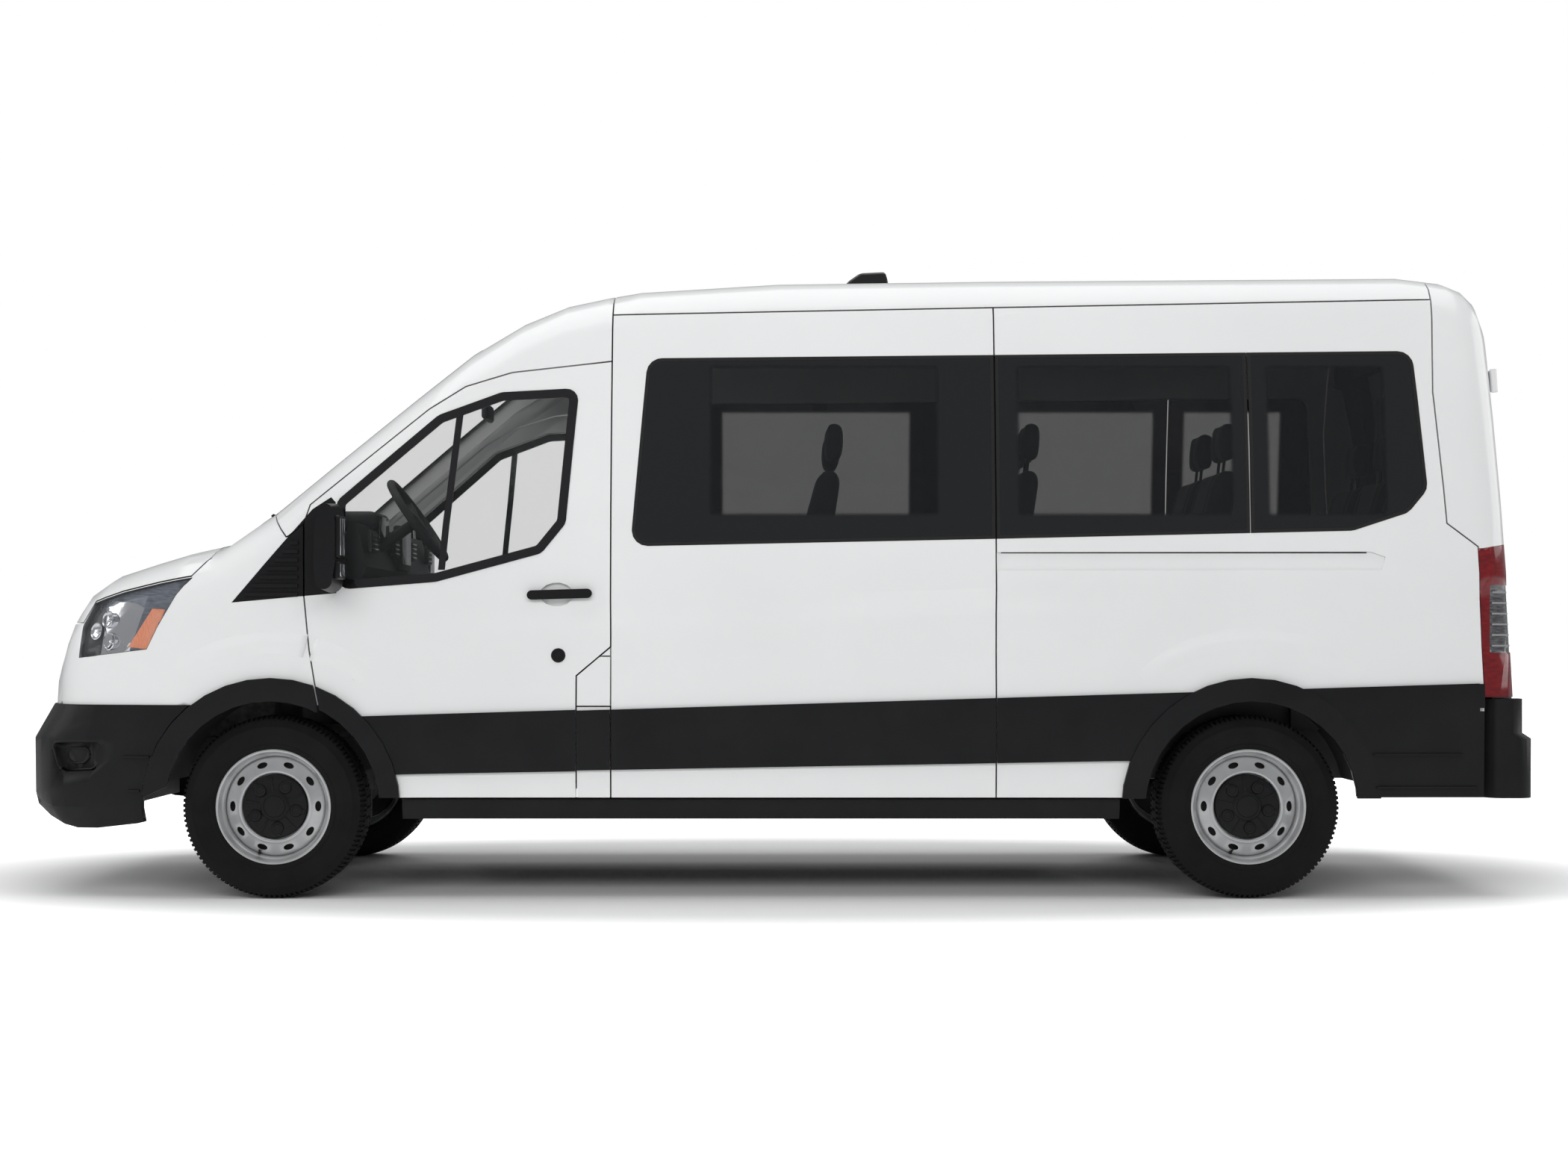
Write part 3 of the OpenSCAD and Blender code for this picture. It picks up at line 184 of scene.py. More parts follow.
mottle(lamp_red, 26.0, (0.10, 0.002, 0.004), (0.21, 0.004, 0.008), stretch=(1, 1, 3))
grain(lamp_red, 260.0, 0.15, 0.0008)
lamp_smoke = finish("reversing_lens", (0.10, 0.10, 0.105), 0.16, 0.3, Coat_Weight=0.5)
mottle(lamp_smoke, 30.0, (0.04, 0.04, 0.043), (0.17, 0.17, 0.175), stretch=(1, 1, 5))
underbody = finish("underbody_paint", (0.03, 0.03, 0.032), 0.7)
mottle(underbody, 6.0, (0.018, 0.018, 0.019), (0.036, 0.034, 0.033))
grain(underbody, 240.0, 0.25, 0.001)
# Near-black finish of the body frame and the other structure: where it shows through the gaps between panels
# it is painted shade that makes the seams read dark
seam_shade_grey = finish("dark_frame_seam_shade", (0.05, 0.05, 0.052), 0.6)
mottle(seam_shade_grey, 4.0, (0.042, 0.042, 0.044), (0.06, 0.06, 0.063))
cast_metal = finish("cast_metal", (0.2, 0.2, 0.21), 0.6, 0.8)
mottle(cast_metal, 40.0, (0.15, 0.15, 0.155), (0.26, 0.255, 0.25))
grain(cast_metal, 320.0, 0.4, 0.001)
bare_steel = finish("exhaust_steel", (0.4, 0.39, 0.37), 0.42, 0.9)
mottle(bare_steel, 18.0, (0.3, 0.28, 0.26), (0.47, 0.46, 0.45))
mirror_glass = finish("mirror_glass", (0.75, 0.78, 0.8), 0.03, 1.0)
mottle(mirror_glass, 5.0, 0.02, 0.05, "Roughness")
dash_plastic = finish("dash_plastic", (0.02, 0.02, 0.021), 0.62)
mottle(dash_plastic, 11.0, (0.018, 0.018, 0.019), (0.026, 0.026, 0.028))
grain(dash_plastic, 900.0, 0.4, 0.0008)
trim_grey = finish("cabin_trim_grey", (0.2, 0.2, 0.2), 0.7)
mottle(trim_grey, 8.0, (0.18, 0.18, 0.18), (0.23, 0.23, 0.228))
grain(trim_grey, 700.0, 0.35, 0.0008)
seat_cloth = finish("seat_cloth", (0.04, 0.041, 0.045), 0.92, Sheen_Weight=0.3)
mottle(seat_cloth, 260.0, (0.026, 0.027, 0.03), (0.06, 0.061, 0.066))
grain(seat_cloth, 650.0, 0.6, 0.001)

by_slot = {"paint_white": white_paint, "black_plastic": black_trim, "dark_glass": privacy_glass,
           "clear_glass": clear_glass, "tyre": rubber, "wheel_silver": wheel_silver,
           "lamp_clear": lamp_lens, "lamp_red": lamp_red, "chassis": underbody, "structure": seam_shade_grey,
           "cast_metal": cast_metal, "engine": cast_metal, "steel": bare_steel,
           "interior_plastic": dash_plastic, "seat_cloth": seat_cloth}
for entry in frame["record"]["subparts"]:
    mesh = nodes[entry["node"]].data
    mesh.materials.clear()
    mesh.materials.append(by_slot[entry["material_slot"]])


MERGE_GAP = 0.00005
POLE_GAP = 0.00002


def smooth(obj, angle=30.0):
    """Joins a CAD node's loose triangles and shades its curved faces smooth."""
    weld = obj.modifiers.new("join", "WELD")
    weld.merge_threshold = MERGE_GAP
    for face in obj.data.polygons:
        face.use_smooth = True
    edges = obj.modifiers.new("sharp edges", "EDGE_SPLIT")
    edges.split_angle = radians(angle)


for node in nodes.values():
    smooth(node)


# Ways of making pieces

def piece(name, bm, material, body="body", slot="black_plastic", angle=32.0, replaces=()):
    """Makes an object of a finished bmesh, lets it ride and gives it its finish."""
    data = bpy.data.meshes.new(name)
    bm.to_mesh(data)
    bm.free()
    for mat in material if isinstance(material, tuple) else (material,):
        data.materials.append(mat)
    for face in data.polygons:
        face.use_smooth = True
    data.set_sharp_from_angle(angle=radians(angle))
    obj = bpy.data.objects.new(name, data)
    scene.collection.objects.link(obj)
    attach(obj, body)
    if replaces:
        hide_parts(*replaces)
    return obj


def only(kind, made):
    """The vertices, edges or faces among what an operator made."""
    return [part for part in made["geom"] if isinstance(part, kind)]


def outwards(bm):
    """Turns all faces outwards."""
    bmesh.ops.recalc_face_normals(bm, faces=bm.faces)


def put(bm, place):
    """Moves and turns a whole shape to its place."""
    bmesh.ops.transform(bm, matrix=place, verts=bm.verts)


def rounded(bm, edges, offset, segments):
    """Rounds edges."""
    bmesh.ops.bevel(bm, geom=edges, offset=offset, segments=segments, profile=0.5, affect="EDGES",
                    material=-1, clamp_overlap=True)


def join_to(bm, extra):
    """Adds a finished shape to another one."""
    data = bpy.data.meshes.new("extra")
    extra.to_mesh(data)
    extra.free()
    bm.from_mesh(data)
    bpy.data.meshes.remove(data)


def turned(bm, profile, steps, closed=False):
    """Turns a profile of (radius, height) points about the upright axis."""
    verts = [bm.verts.new((r, 0, h)) for r, h in profile]
    edges = [bm.edges.new(pair) for pair in zip(verts, verts[1:])]
    if closed:
        edges.append(bm.edges.new((verts[-1], verts[0])))
    bmesh.ops.spin(bm, geom=verts + edges, cent=(0, 0, 0), axis=UP, angle=2 * pi, steps=steps,
                   use_merge=True)
    bmesh.ops.remove_doubles(bm, verts=bm.verts, dist=POLE_GAP)
    outwards(bm)


def block(bm, low, high, edge=0.0, segments=2):
    """A box between two corners with rounded edges."""
    low, high = Vector(low), Vector(high)
    size = Matrix.Diagonal((*(high - low), 1))
    made = bmesh.ops.create_cube(bm, size=1.0, matrix=Matrix.Translation((low + high) / 2) @ size)
    if edge:
        rounded(bm, list({e for v in made["verts"] for e in v.link_edges}), edge, segments)


def push(bm, faces, by):
    """Draws faces out by a vector and leaves walls behind them."""
    made = bmesh.ops.extrude_face_region(bm, geom=faces)
    bmesh.ops.translate(bm, vec=by, verts=only(bmesh.types.BMVert, made))
    return only(bmesh.types.BMFace, made)


def plate(bm, corners, by):
    """A plate with a free outline and a thickness."""
    face = bm.faces.new([bm.verts.new(c) for c in corners])
    push(bm, [face], by)
    outwards(bm)


def rod(bm, points, radius, sides=10):
    """A round rod drawn along a line of points."""
    points = [Vector(p) for p in points]
    ring = None
    for i, point in enumerate(points):
        along = (points[min(i + 1, len(points) - 1)] - points[max(i - 1, 0)]).normalized()
        turn = along.to_track_quat("Z", "Y").to_matrix()
        angles = [2 * pi * k / sides for k in range(sides)]
        spots = [point + turn @ Vector((cos(a) * radius, sin(a) * radius, 0)) for a in angles]
        if ring is None:
            ring = [bm.verts.new(s) for s in spots]
            edges = [bm.edges.new((ring[k], ring[(k + 1) % sides])) for k in range(sides)]
            bm.faces.new(ring)
        else:
            made = bmesh.ops.extrude_edge_only(bm, edges=edges)
            edges = [e for e in only(bmesh.types.BMEdge, made) if all(v not in ring for v in e.verts)]
            ends = {v for e in edges for v in e.verts}
            ring = [next(w for w in ends for e in w.link_edges if v in e.verts) for v in ring]
            for v, s in zip(ring, spots):
                v.co = s
    bm.faces.new(ring)
    outwards(bm)


NOSE_START = 2.25
NOSE_END = 2.85
NOSE_BACK = 0.078
BUMPER_TURN = 0.61
BUMPER_TOP = 0.745
BUMPER_CURL = 0.40
CURL_RATE = 4.3
BUMPER_START = 2.35
bumper_cuts = (0.30, 0.35, BUMPER_CURL, BUMPER_TURN, 0.68)
REAR_STEP = 0.615
REAR_LEDGE = 0.022
REAR_START = -2.76
REAR_END = -2.90
REAR_DRAWN = 0.020
STEP_DEPTH = 0.034
step_ramp = (REAR_STEP + 0.004, REAR_STEP + 0.018)
nose_nodes = ("hood", "fenders", "headlamps", "grille", "body_frame")


def share(value, start, end):
    """How far a value has come from a start to an end, from 0 to 1."""
    return min(max((value - start) / (end - start), 0.0), 1.0)


def drawn_back(x):
    """Where a place of the nose lies once the nose is drawn back behind the bumper."""
    return x - NOSE_BACK * share(x, NOSE_START, NOSE_END)


def slice_at(bm, spot, way, clear=False):
    """Cuts all faces along a plane, and clears what lies past it if asked to."""
    bmesh.ops.bisect_plane(bm, geom=bm.verts[:] + bm.edges[:] + bm.faces[:], plane_co=spot, plane_no=way,
                           clear_outer=clear)


def shaped(name, bm):
    """Draws a copy of a nose node back, or gives a bumper the shelf, curl or step of the real one."""
    if name in nose_nodes:
        slice_at(bm, (NOSE_START, 0, 0), AHEAD)
        slice_at(bm, (NOSE_END, 0, 0), AHEAD)
        for v in bm.verts:
            v.co.x = drawn_back(v.co.x)
    elif name == "front_bumper":
        for height in bumper_cuts:
            slice_at(bm, (0, 0, height), UP)
        for v in bm.verts:
            shelf = NOSE_BACK * share(v.co.z, BUMPER_TURN, BUMPER_TOP)
            curl = CURL_RATE * max(BUMPER_CURL - v.co.z, 0.0) ** 2
            v.co.x -= (shelf + curl) * share(v.co.x, BUMPER_START, NOSE_END)
    elif name == "rear_bumper":
        for height in (REAR_STEP, REAR_STEP + REAR_LEDGE):
            slice_at(bm, (0, 0, height), UP)
        for v in bm.verts:
            rise = share(v.co.z, *step_ramp)
            v.co.x += (REAR_DRAWN + STEP_DEPTH * rise) * share(v.co.x, REAR_START, REAR_END)
    return bm


skins = {}


def on_skin(names, start, way):
    """Where a straight look first meets one of the named nodes."""
    start, way = Vector(start), Vector(way).normalized()
    best = None
    for name in names:
        if name not in skins:
            bm = copy_of(name)
            skins[name] = BVHTree.FromBMesh(bm)
            bm.free()
        spot = skins[name].ray_cast(start, way)[0]
        if spot and (best is None or (spot - start).length < (best - start).length):
            best = spot
    return best


def on_side(x, z, side, *names):
    """A point of the body side, as seen straight from the left or the right."""
    return on_skin(names, (x, 3 * side, z), (0, -side, 0))


def along_side(start, end, steps, side, *names):
    """Points of the body side under a straight line from one (x, z) place to another."""
    (x0, z0), (x1, z1) = start, end
    spots = [on_side(x0 + (x1 - x0) * k / steps, z0 + (z1 - z0) * k / steps, side, *names)
             for k in range(steps + 1)]
    return [spot for spot in spots if spot]


def owner_of(spot, names):
    """Which of the named nodes a point of the body side lies on."""
    return min(names, key=lambda name: skins[name].find_nearest(spot)[3])


def ribbon(bm, path, width, across, lift, thick):
    """A flat strip along points of a skin: width across it, lifted off it, with a thickness."""
    path = [Vector(p) for p in path]
    across, lift = Vector(across).normalized(), Vector(lift).normalized()
    spots = [(p - across * width / 2, p + across * width / 2) for p in path]
    pair = [bm.verts.new(s) for s in spots[0]]
    edge = bm.edges.new(pair)
    faces = []
    for left, right in spots[1:]:
        made = bmesh.ops.extrude_edge_only(bm, edges=[edge])
        faces += only(bmesh.types.BMFace, made)
        ends = only(bmesh.types.BMVert, made)
        ends.sort(key=lambda v: (v.co - pair[0].co).length)
        ends[0].co, ends[1].co = left, right
        edge = next(e for e in ends[0].link_edges if ends[1] in e.verts)
        pair = ends
    push(bm, faces, lift * thick)
    outwards(bm)


def copy_of(name, keep=None):
    """A merged copy of a CAD node's mesh, or of the part of it that a test keeps."""
    bm = bmesh.new()
    bm.from_mesh(nodes[name].data)
    bmesh.ops.remove_doubles(bm, verts=bm.verts, dist=MERGE_GAP)
    if keep:
        bmesh.ops.delete(bm, geom=[v for v in bm.verts if not keep(v.co)], context="VERTS")
    shaped(name, bm)
    bm.normal_update()
    return bm


def facing(bm, way, least=0.35):
    """The faces that look in a direction."""
    way = Vector(way).normalized()
    return [f for f in bm.faces if f.normal.dot(way) > least]


def keep_faces(bm, faces):
    """Deletes all the other faces."""
    kept = set(faces)
    bmesh.ops.delete(bm, geom=[f for f in bm.faces if f not in kept], context="FACES")


def border(name, node, way, width, thick, material, body, slot="black_plastic", keep=None):
    """A band round the edge of a pane, on its outer face."""
    bm = copy_of(node, keep)
    keep_faces(bm, facing(bm, way))
    bmesh.ops.dissolve_faces(bm, faces=list(bm.faces), use_verts=False)
    panes = list(bm.faces)
    bmesh.ops.inset_individual(bm, faces=panes, thickness=width, use_even_offset=True)
    bmesh.ops.delete(bm, geom=panes, context="FACES")
    push(bm, list(bm.faces), Vector(way).normalized() * thick)
    outwards(bm)
    piece(name, bm, material, body, slot)


def swept(bm, rows):
    """A closed form drawn from one ring of points to the next, with both ends shut."""
    ring = [bm.verts.new(p) for p in rows[0]]
    bm.faces.new(ring)
    for row in rows[1:]:
        pairs = zip(ring, ring[1:] + ring[:1])
        edges = [next(e for e in a.link_edges if e.other_vert(a) == b) for a, b in pairs]
        fresh = only(bmesh.types.BMVert, bmesh.ops.extrude_edge_only(bm, edges=edges))
        ring = [next(w for w in fresh if any(e.other_vert(w) == v for e in w.link_edges)) for v in ring]
        for v, spot in zip(ring, row):
            v.co = spot
    bm.faces.new(ring)
    outwards(bm)


SWAGE_POINTS = 16
SWAGE_SINK = 0.0005
SWAGE_ROOT = 0.008
ROOT_POINTS = (11, 5)
LARGEST_STEP = 0.012


def swage(bm, path, across, heights, side, width, names):
    """A soft raised line on a body side: a low bell-shaped section along points of the skin."""
    rows = []
    for spot, way, height in zip(path, across, heights):
        row = []
        for k in range(SWAGE_POINTS + 1):
            place = spot + way * width * (k / SWAGE_POINTS - 0.5)
            under = on_side(place.x, place.z, side, *names)
            if under and abs(under.y - spot.y) < LARGEST_STEP:
                place.y = under.y
            bell = 0.5 - 0.5 * cos(2 * pi * k / SWAGE_POINTS)
            row.append(place + OUT * side * (height * bell - SWAGE_SINK))
        row += [row[k] - OUT * side * SWAGE_ROOT for k in ROOT_POINTS]
        rows.append(row)
    swept(bm, rows)


# Nose and bumpers, shaped beyond their plain solids

for node, body, finish_of, slot in (("hood", "hood", white_paint, "paint_white"),
                                    ("fenders", "body", white_paint, "paint_white"),
                                    ("body_frame", "body", seam_shade_grey, "structure"),
                                    ("grille", "body", black_trim, "black_plastic"),
                                    ("front_bumper", "body", black_trim, "black_plastic"),
                                    ("rear_bumper", "body", black_trim, "black_plastic")):
    piece(node + "_skin", copy_of(node), finish_of, body, slot, 30.0, (node,))


SIDES = ((1, "left"), (-1, "right"))
ARC_STEPS = 36
FLARE_RISE = 0.008
FLARE_WIDTH = 0.100
FLARE_TAPER = 0.10
# End of the van, radius of the line, and where its arc starts and ends in degrees
wheel_flares = (("front", 0.630, 46, 134), ("rear", 0.645, 48, 132))
panels_of = {"left": ("fenders", "front_door_left", "side_panel_left", "quarter_left", "body_mouldings",
                      "fuel_flap"),
             "right": ("fenders", "front_door_right", "sliding_door", "quarter_right", "body_mouldings")}
for side, word in SIDES:
    door = "front_door_" + word
    for end, radius, first, last in wheel_flares:
        low, high = (Vector(c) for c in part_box(f"tyre_{end}_{word}"))
        hub = (low + high) / 2
        for owner, body in (("fixed", "body"), (door, door)):
            path, across, heights = [], [], []
            for k in range(ARC_STEPS + 1):
                turn = radians(first + (last - first) * k / ARC_STEPS)
                x, z = hub.x + radius * cos(turn), hub.z + radius * sin(turn)
                spot = on_side(x, z, side, *panels_of[word])
                panel = spot and owner_of(spot, panels_of[word])
                if spot and panel != "body_mouldings" and (panel == door) == (owner == door):
                    path.append(spot)
                    across.append(Vector((cos(turn), 0, sin(turn))))
                    heights.append(FLARE_RISE * min(1.0, FLARE_TAPER * min(k, ARC_STEPS - k)))
            if len(path) > 4:
                flare = bmesh.new()
                swage(flare, path, across, heights, side, FLARE_WIDTH, panels_of[word])
                piece(f"flare_line_{end}_{owner}_{word}", flare, white_paint, body, "paint_white", 180.0)


# Wheels and tyres

TREAD_STEPS = 220
TREAD_FROM = 0.335
CROWN_FROM = 0.35
# Radius and distance from the middle of the tyre, from the bead to the middle of the tread
tyre_half = [(0.2130, 0.0800), (0.2205, 0.0930), (0.2255, 0.1000), (0.2300, 0.1030), (0.2335, 0.1065),
             (0.2400, 0.1080), (0.2435, 0.1065), (0.2600, 0.1125), (0.2830, 0.1165), (0.3040, 0.1160),
             (0.3070, 0.1170), (0.3110, 0.1165), (0.3135, 0.1145), (0.3260, 0.1115), (0.3370, 0.1060),
             (0.3445, 0.0985), (0.3485, 0.0890), (0.3500, 0.0720), (0.3508, 0.0500), (0.3430, 0.0485),
             (0.3430, 0.0415), (0.3512, 0.0400), (0.3518, 0.0220), (0.3520, 0.0040), (0.3440, 0.0030)]
tyre_profile = tyre_half + [(r, -h) for r, h in reversed(tyre_half)]


def tyre(name, seat, body, node):
    """A tyre with ribs, circling grooves and cut shoulder blocks."""
    bm = bmesh.new()
    turned(bm, tyre_profile, TREAD_STEPS, closed=True)

    def column(face):
        spot = face.calc_center_median()
        return int(round((atan2(spot.y, spot.x) % (2 * pi)) / (2 * pi) * TREAD_STEPS - 0.5)) % TREAD_STEPS

    def band(inner, outer):
        for face in bm.faces:
            spot = face.calc_center_median()
            if hypot(spot.x, spot.y) > TREAD_FROM and inner < abs(spot.z) < outer:
                yield face

    notches = [f for f in band(inner=0.055, outer=0.1045) if column(f) % 2 == 0]
    bmesh.ops.inset_region(bm, faces=notches, thickness=0.0016, depth=-0.0065, use_even_offset=True)
    sipes = [f for f in band(inner=0.006, outer=0.0395) if column(f) % 4 == 1]
    sipes = [f for f in sipes if hypot(*f.calc_center_median().xy) > CROWN_FROM]
    bmesh.ops.inset_region(bm, faces=sipes, thickness=0.002, depth=-0.004, use_even_offset=True)
    put(bm, seat)
    piece(name, bm, rubber, body, "tyre", 40.0, (node,))


# Radius and distance from the middle of the wheel, outwards positive
rim_profile = [(0.2110, 0.0820), (0.2205, 0.0880), (0.2225, 0.0935), (0.2210, 0.0975), (0.2170, 0.0985),
               (0.2125, 0.0965), (0.2095, 0.0915), (0.2075, 0.0840), (0.2058, 0.0720), (0.2035, 0.0675),
               (0.1990, 0.0650), (0.1965, 0.0600), (0.1940, 0.0520), (0.1930, 0.0300), (0.1940, -0.0500),
               (0.2000, -0.0640), (0.2070, -0.0800), (0.2120, -0.0930), (0.2180, -0.0960), (0.2210, -0.0930),
               (0.2205, -0.0860), (0.2110, -0.0820), (0.2060, -0.0660), (0.1990, -0.0400), (0.1990, 0.0300),
               (0.2045, 0.0560), (0.2060, 0.0640)]
disc_outer = [(0.1932, 0.0350), (0.1925, 0.0430), (0.1895, 0.0465), (0.1865, 0.0500), (0.1840, 0.0512)]
disc_inner = [(0.1460, 0.0602), (0.1425, 0.0632), (0.1385, 0.0655), (0.1340, 0.0660), (0.1300, 0.0640),
              (0.1270, 0.0590), (0.1258, 0.0500), (0.1250, 0.0420), (0.0350, 0.0420)]
cap_profile = [(0.1238, 0.0430), (0.1238, 0.0585), (0.1215, 0.0630), (0.1160, 0.0655), (0.1000, 0.0668),
               (0.0620, 0.0672), (0.0560, 0.0690), (0.0520, 0.0740), (0.0480, 0.0765), (0.0435, 0.0765),
               (0.0425, 0.0750), (0.0405, 0.0750), (0.0395, 0.0768), (0.0200, 0.0778), (0.0000, 0.0780)]
lobe_profile = [(0.0245, 0.0640), (0.0240, 0.0700), (0.0215, 0.0728), (0.0150, 0.0738), (0.0135, 0.0722),
                (0.0, 0.0722)]
valve_profile = [(0.0, 0.0), (0.0065, 0.0), (0.0055, 0.012), (0.0040, 0.020), (0.0042, 0.032),
                 (0.0035, 0.036), (0.0, 0.037)]
brake_profile = [(0.118, 0.038), (0.124, 0.038), (0.127, 0.024), (0.184, 0.022), (0.187, 0.019),
                 (0.187, 0.009), (0.184, 0.006), (0.118, 0.006)]
RIM_STEPS = 96
DISC_STEPS = 80
DISC_R = 0.184
DISC_INNER_R = 0.146
DISC_Z = 0.0512
DISC_RISE = 0.009
DISC_WALL = 0.005
VENTS = 10
VENT_STEPS = 18
VENT_R = 0.165
VENT_HALF_LENGTH = 0.0205
VENT_HALF_WIDTH = 0.0115
CAP_LOBES = 5
LOBE_R = 0.083
VALVE_TURN = radians(71)
VALVE_LEAN = -0.5
valve_foot = (0.194, 0, 0.045)


def ring_of(bm, count, spot):
    """A closed loop of edges through the places that a function gives."""
    verts = [bm.verts.new(spot(2 * pi * k / count)) for k in range(count)]
    return [bm.edges.new((verts[k], verts[(k + 1) % count])) for k in range(count)]


def wheel(name, seat, body, node):
    """A pressed steel wheel: rolled rim and vented disc."""
    bm = bmesh.new()
    turned(bm, rim_profile, RIM_STEPS, closed=True)
    disc = bmesh.new()
    edges = ring_of(disc, DISC_STEPS, lambda a: (DISC_R * cos(a), DISC_R * sin(a), 0))
    edges += ring_of(disc, DISC_STEPS, lambda a: (DISC_INNER_R * cos(a), DISC_INNER_R * sin(a), 0))
    for i in range(VENTS):
        turn = Matrix.Rotation(2 * pi * i / VENTS, 3, "Z")
        edges += ring_of(disc, VENT_STEPS, lambda a: turn @ Vector((VENT_R + VENT_HALF_WIDTH * cos(a),
                                                                    VENT_HALF_LENGTH * sin(a), 0)))
    bmesh.ops.triangle_fill(disc, use_beauty=True, use_dissolve=False, edges=edges)
    for v in disc.verts:
        v.co.z = DISC_Z + (DISC_R - hypot(v.co.x, v.co.y)) / (DISC_R - DISC_INNER_R) * DISC_RISE
    turned(disc, disc_outer, DISC_STEPS)
    turned(disc, disc_inner, DISC_STEPS)
    outwards(disc)
    if sum(f.normal.z for f in disc.faces) < 0:
        bmesh.ops.reverse_faces(disc, faces=disc.faces)
    bmesh.ops.solidify(disc, geom=list(disc.faces), thickness=DISC_WALL)
    join_to(bm, disc)
    put(bm, seat)
    piece(name, bm, wheel_silver, body, "wheel_silver", 35.0, (node,))


def hub_cap(name, seat, body):
    """The black cap over the hub, with lobes over the bolts and ribs between them."""
    bm = bmesh.new()
    turned(bm, cap_profile, DISC_STEPS)
    for i in range(CAP_LOBES):
        turn = Matrix.Rotation(2 * pi * (i + 0.35) / CAP_LOBES, 4, "Z")
        lobe = bmesh.new()
        turned(lobe, lobe_profile, 24)
        block(lobe, (-0.001, -0.011, 0.064), (0.034, 0.011, 0.0705), 0.003)
        put(lobe, turn @ Matrix.Translation((LOBE_R, 0, 0)))
        rib = Matrix.Rotation(2 * pi * (i + 0.85) / CAP_LOBES, 4, "Z")
        start = len(lobe.verts)
        block(lobe, (0.056, -0.004, 0.063), (0.117, 0.004, 0.0695), 0.002)
        lobe.verts.ensure_lookup_table()
        bmesh.ops.transform(lobe, matrix=rib, verts=lobe.verts[start:])
        join_to(bm, lobe)
    put(bm, seat)
    piece(name, bm, black_trim, body, "black_plastic", 38.0)


def valve(name, seat, body):
    """A rubber tyre valve that leans out of the rim."""
    bm = bmesh.new()
    turned(bm, valve_profile, 12)
    foot = Matrix.Rotation(VALVE_TURN, 4, "Z") @ Matrix.Translation(valve_foot)
    put(bm, seat @ (foot @ Matrix.Rotation(VALVE_LEAN, 4, "Y")))
    piece(name, bm, sealing_rubber, body)


def brake_disc(name, seat, body):
    """The dark brake disc and its bell behind the vents of the wheel."""
    bm = bmesh.new()
    turned(bm, brake_profile, 64, closed=True)
    put(bm, seat)
    piece(name, bm, underbody, body, "cast_metal")


for place in ("front_left", "front_right", "rear_left", "rear_right"):
    low, high = (Vector(c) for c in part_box("tyre_" + place))
    quarter = radians(-90 if place.endswith("left") else 90)
    seat = Matrix.Translation((low + high) / 2) @ Matrix.Rotation(quarter, 4, "X")
    body = "wheel_" + place
    tyre("road_tyre_" + place, seat, body, "tyre_" + place)
    wheel("steel_wheel_" + place, seat, body, "wheel_" + place)
    hub_cap("hub_cap_" + place, seat, body)
    valve("valve_" + place, seat, body)
    brake_disc("brake_disc_" + place, seat, body)


# Glass and its seals

bar_line = [(1.262, 1.262), (1.245, 1.44), (1.222, 1.64), (1.198, 1.865)]
for side, word in SIDES:
    door, glass = "front_door_" + word, "front_glass_" + word
    border("window_frame_" + word, glass, OUT * side, 0.034, 0.0035, gloss_black, door)
    bar = bmesh.new()
    ribbon(bar, [on_side(x, z, side, glass) for x, z in bar_line], 0.026, AHEAD, OUT * side, 0.005)
    piece("window_bar_" + word, bar, gloss_black, door)
    border("side_window_edge_" + word, "side_windows", OUT * side, 0.013, 0.0015, sealing_rubber, "body",
           keep=lambda spot: spot.y * side > 0)
    border("rear_window_edge_" + word, "rear_glass_" + word, -AHEAD, 0.035, 0.0015, gloss_black,
           "rear_door_" + word)
border("windscreen_edge", "windscreen", AHEAD + UP, 0.05, 0.0015, gloss_black, "body")


# Lamps

def nose_places(*places):
    """Where (x, z) places of the nose lie once it is drawn back."""
    return [(drawn_back(x), z) for x, z in places]


amber_area = nose_places((2.517, 0.970), (2.425, 0.960), (2.353, 1.114), (2.405, 1.117))
reflector_area = nose_places((2.655, 0.930), (2.520, 0.955), (2.450, 1.120), (2.610, 1.150))
reflector_spots = nose_places((2.665, 1.030), (2.610, 1.075), (2.600, 0.990))
VEIL_FRONT = drawn_back(2.63)
LENS_FACING = 0.12
LENS_WALL = 0.003
BOWL_DEPTH = 0.020
BOWL_WALL = 0.0015
HOUSING, BRIGHT, VEIL, AMBER = range(4)
bulb_profile = [(0.034, 0.0100), (0.0315, 0.0115), (0.029, 0.0070), (0.020, 0.0025), (0.009, 0.0010),
                (0.007, 0.0060), (0.004, 0.0090), (0.0, 0.0095)]


def sides_of(area):
    """The edges of an outline."""
    return zip(area, area[1:] + area[:1])


def cut_along(bm, area):
    """Cuts faces along the lines of an outline that is drawn from the side."""
    for (x0, z0), (x1, z1) in sides_of(area):
        slice_at(bm, (x0, 0, z0), (z1 - z0, 0, x0 - x1))


def inside(area, x, z):
    """True where a place lies within an outline that has no inward corner."""
    turns = [(x1 - x0) * (z - z0) - (z1 - z0) * (x - x0) for (x0, z0), (x1, z1) in sides_of(area)]
    return min(turns) > 0 or max(turns) < 0


def lamp_face(side, look):
    """The outer faces of the headlamp on one side."""
    bm = copy_of("headlamps", lambda spot: spot.y * side > 0)
    keep_faces(bm, facing(bm, look, LENS_FACING))
    return bm


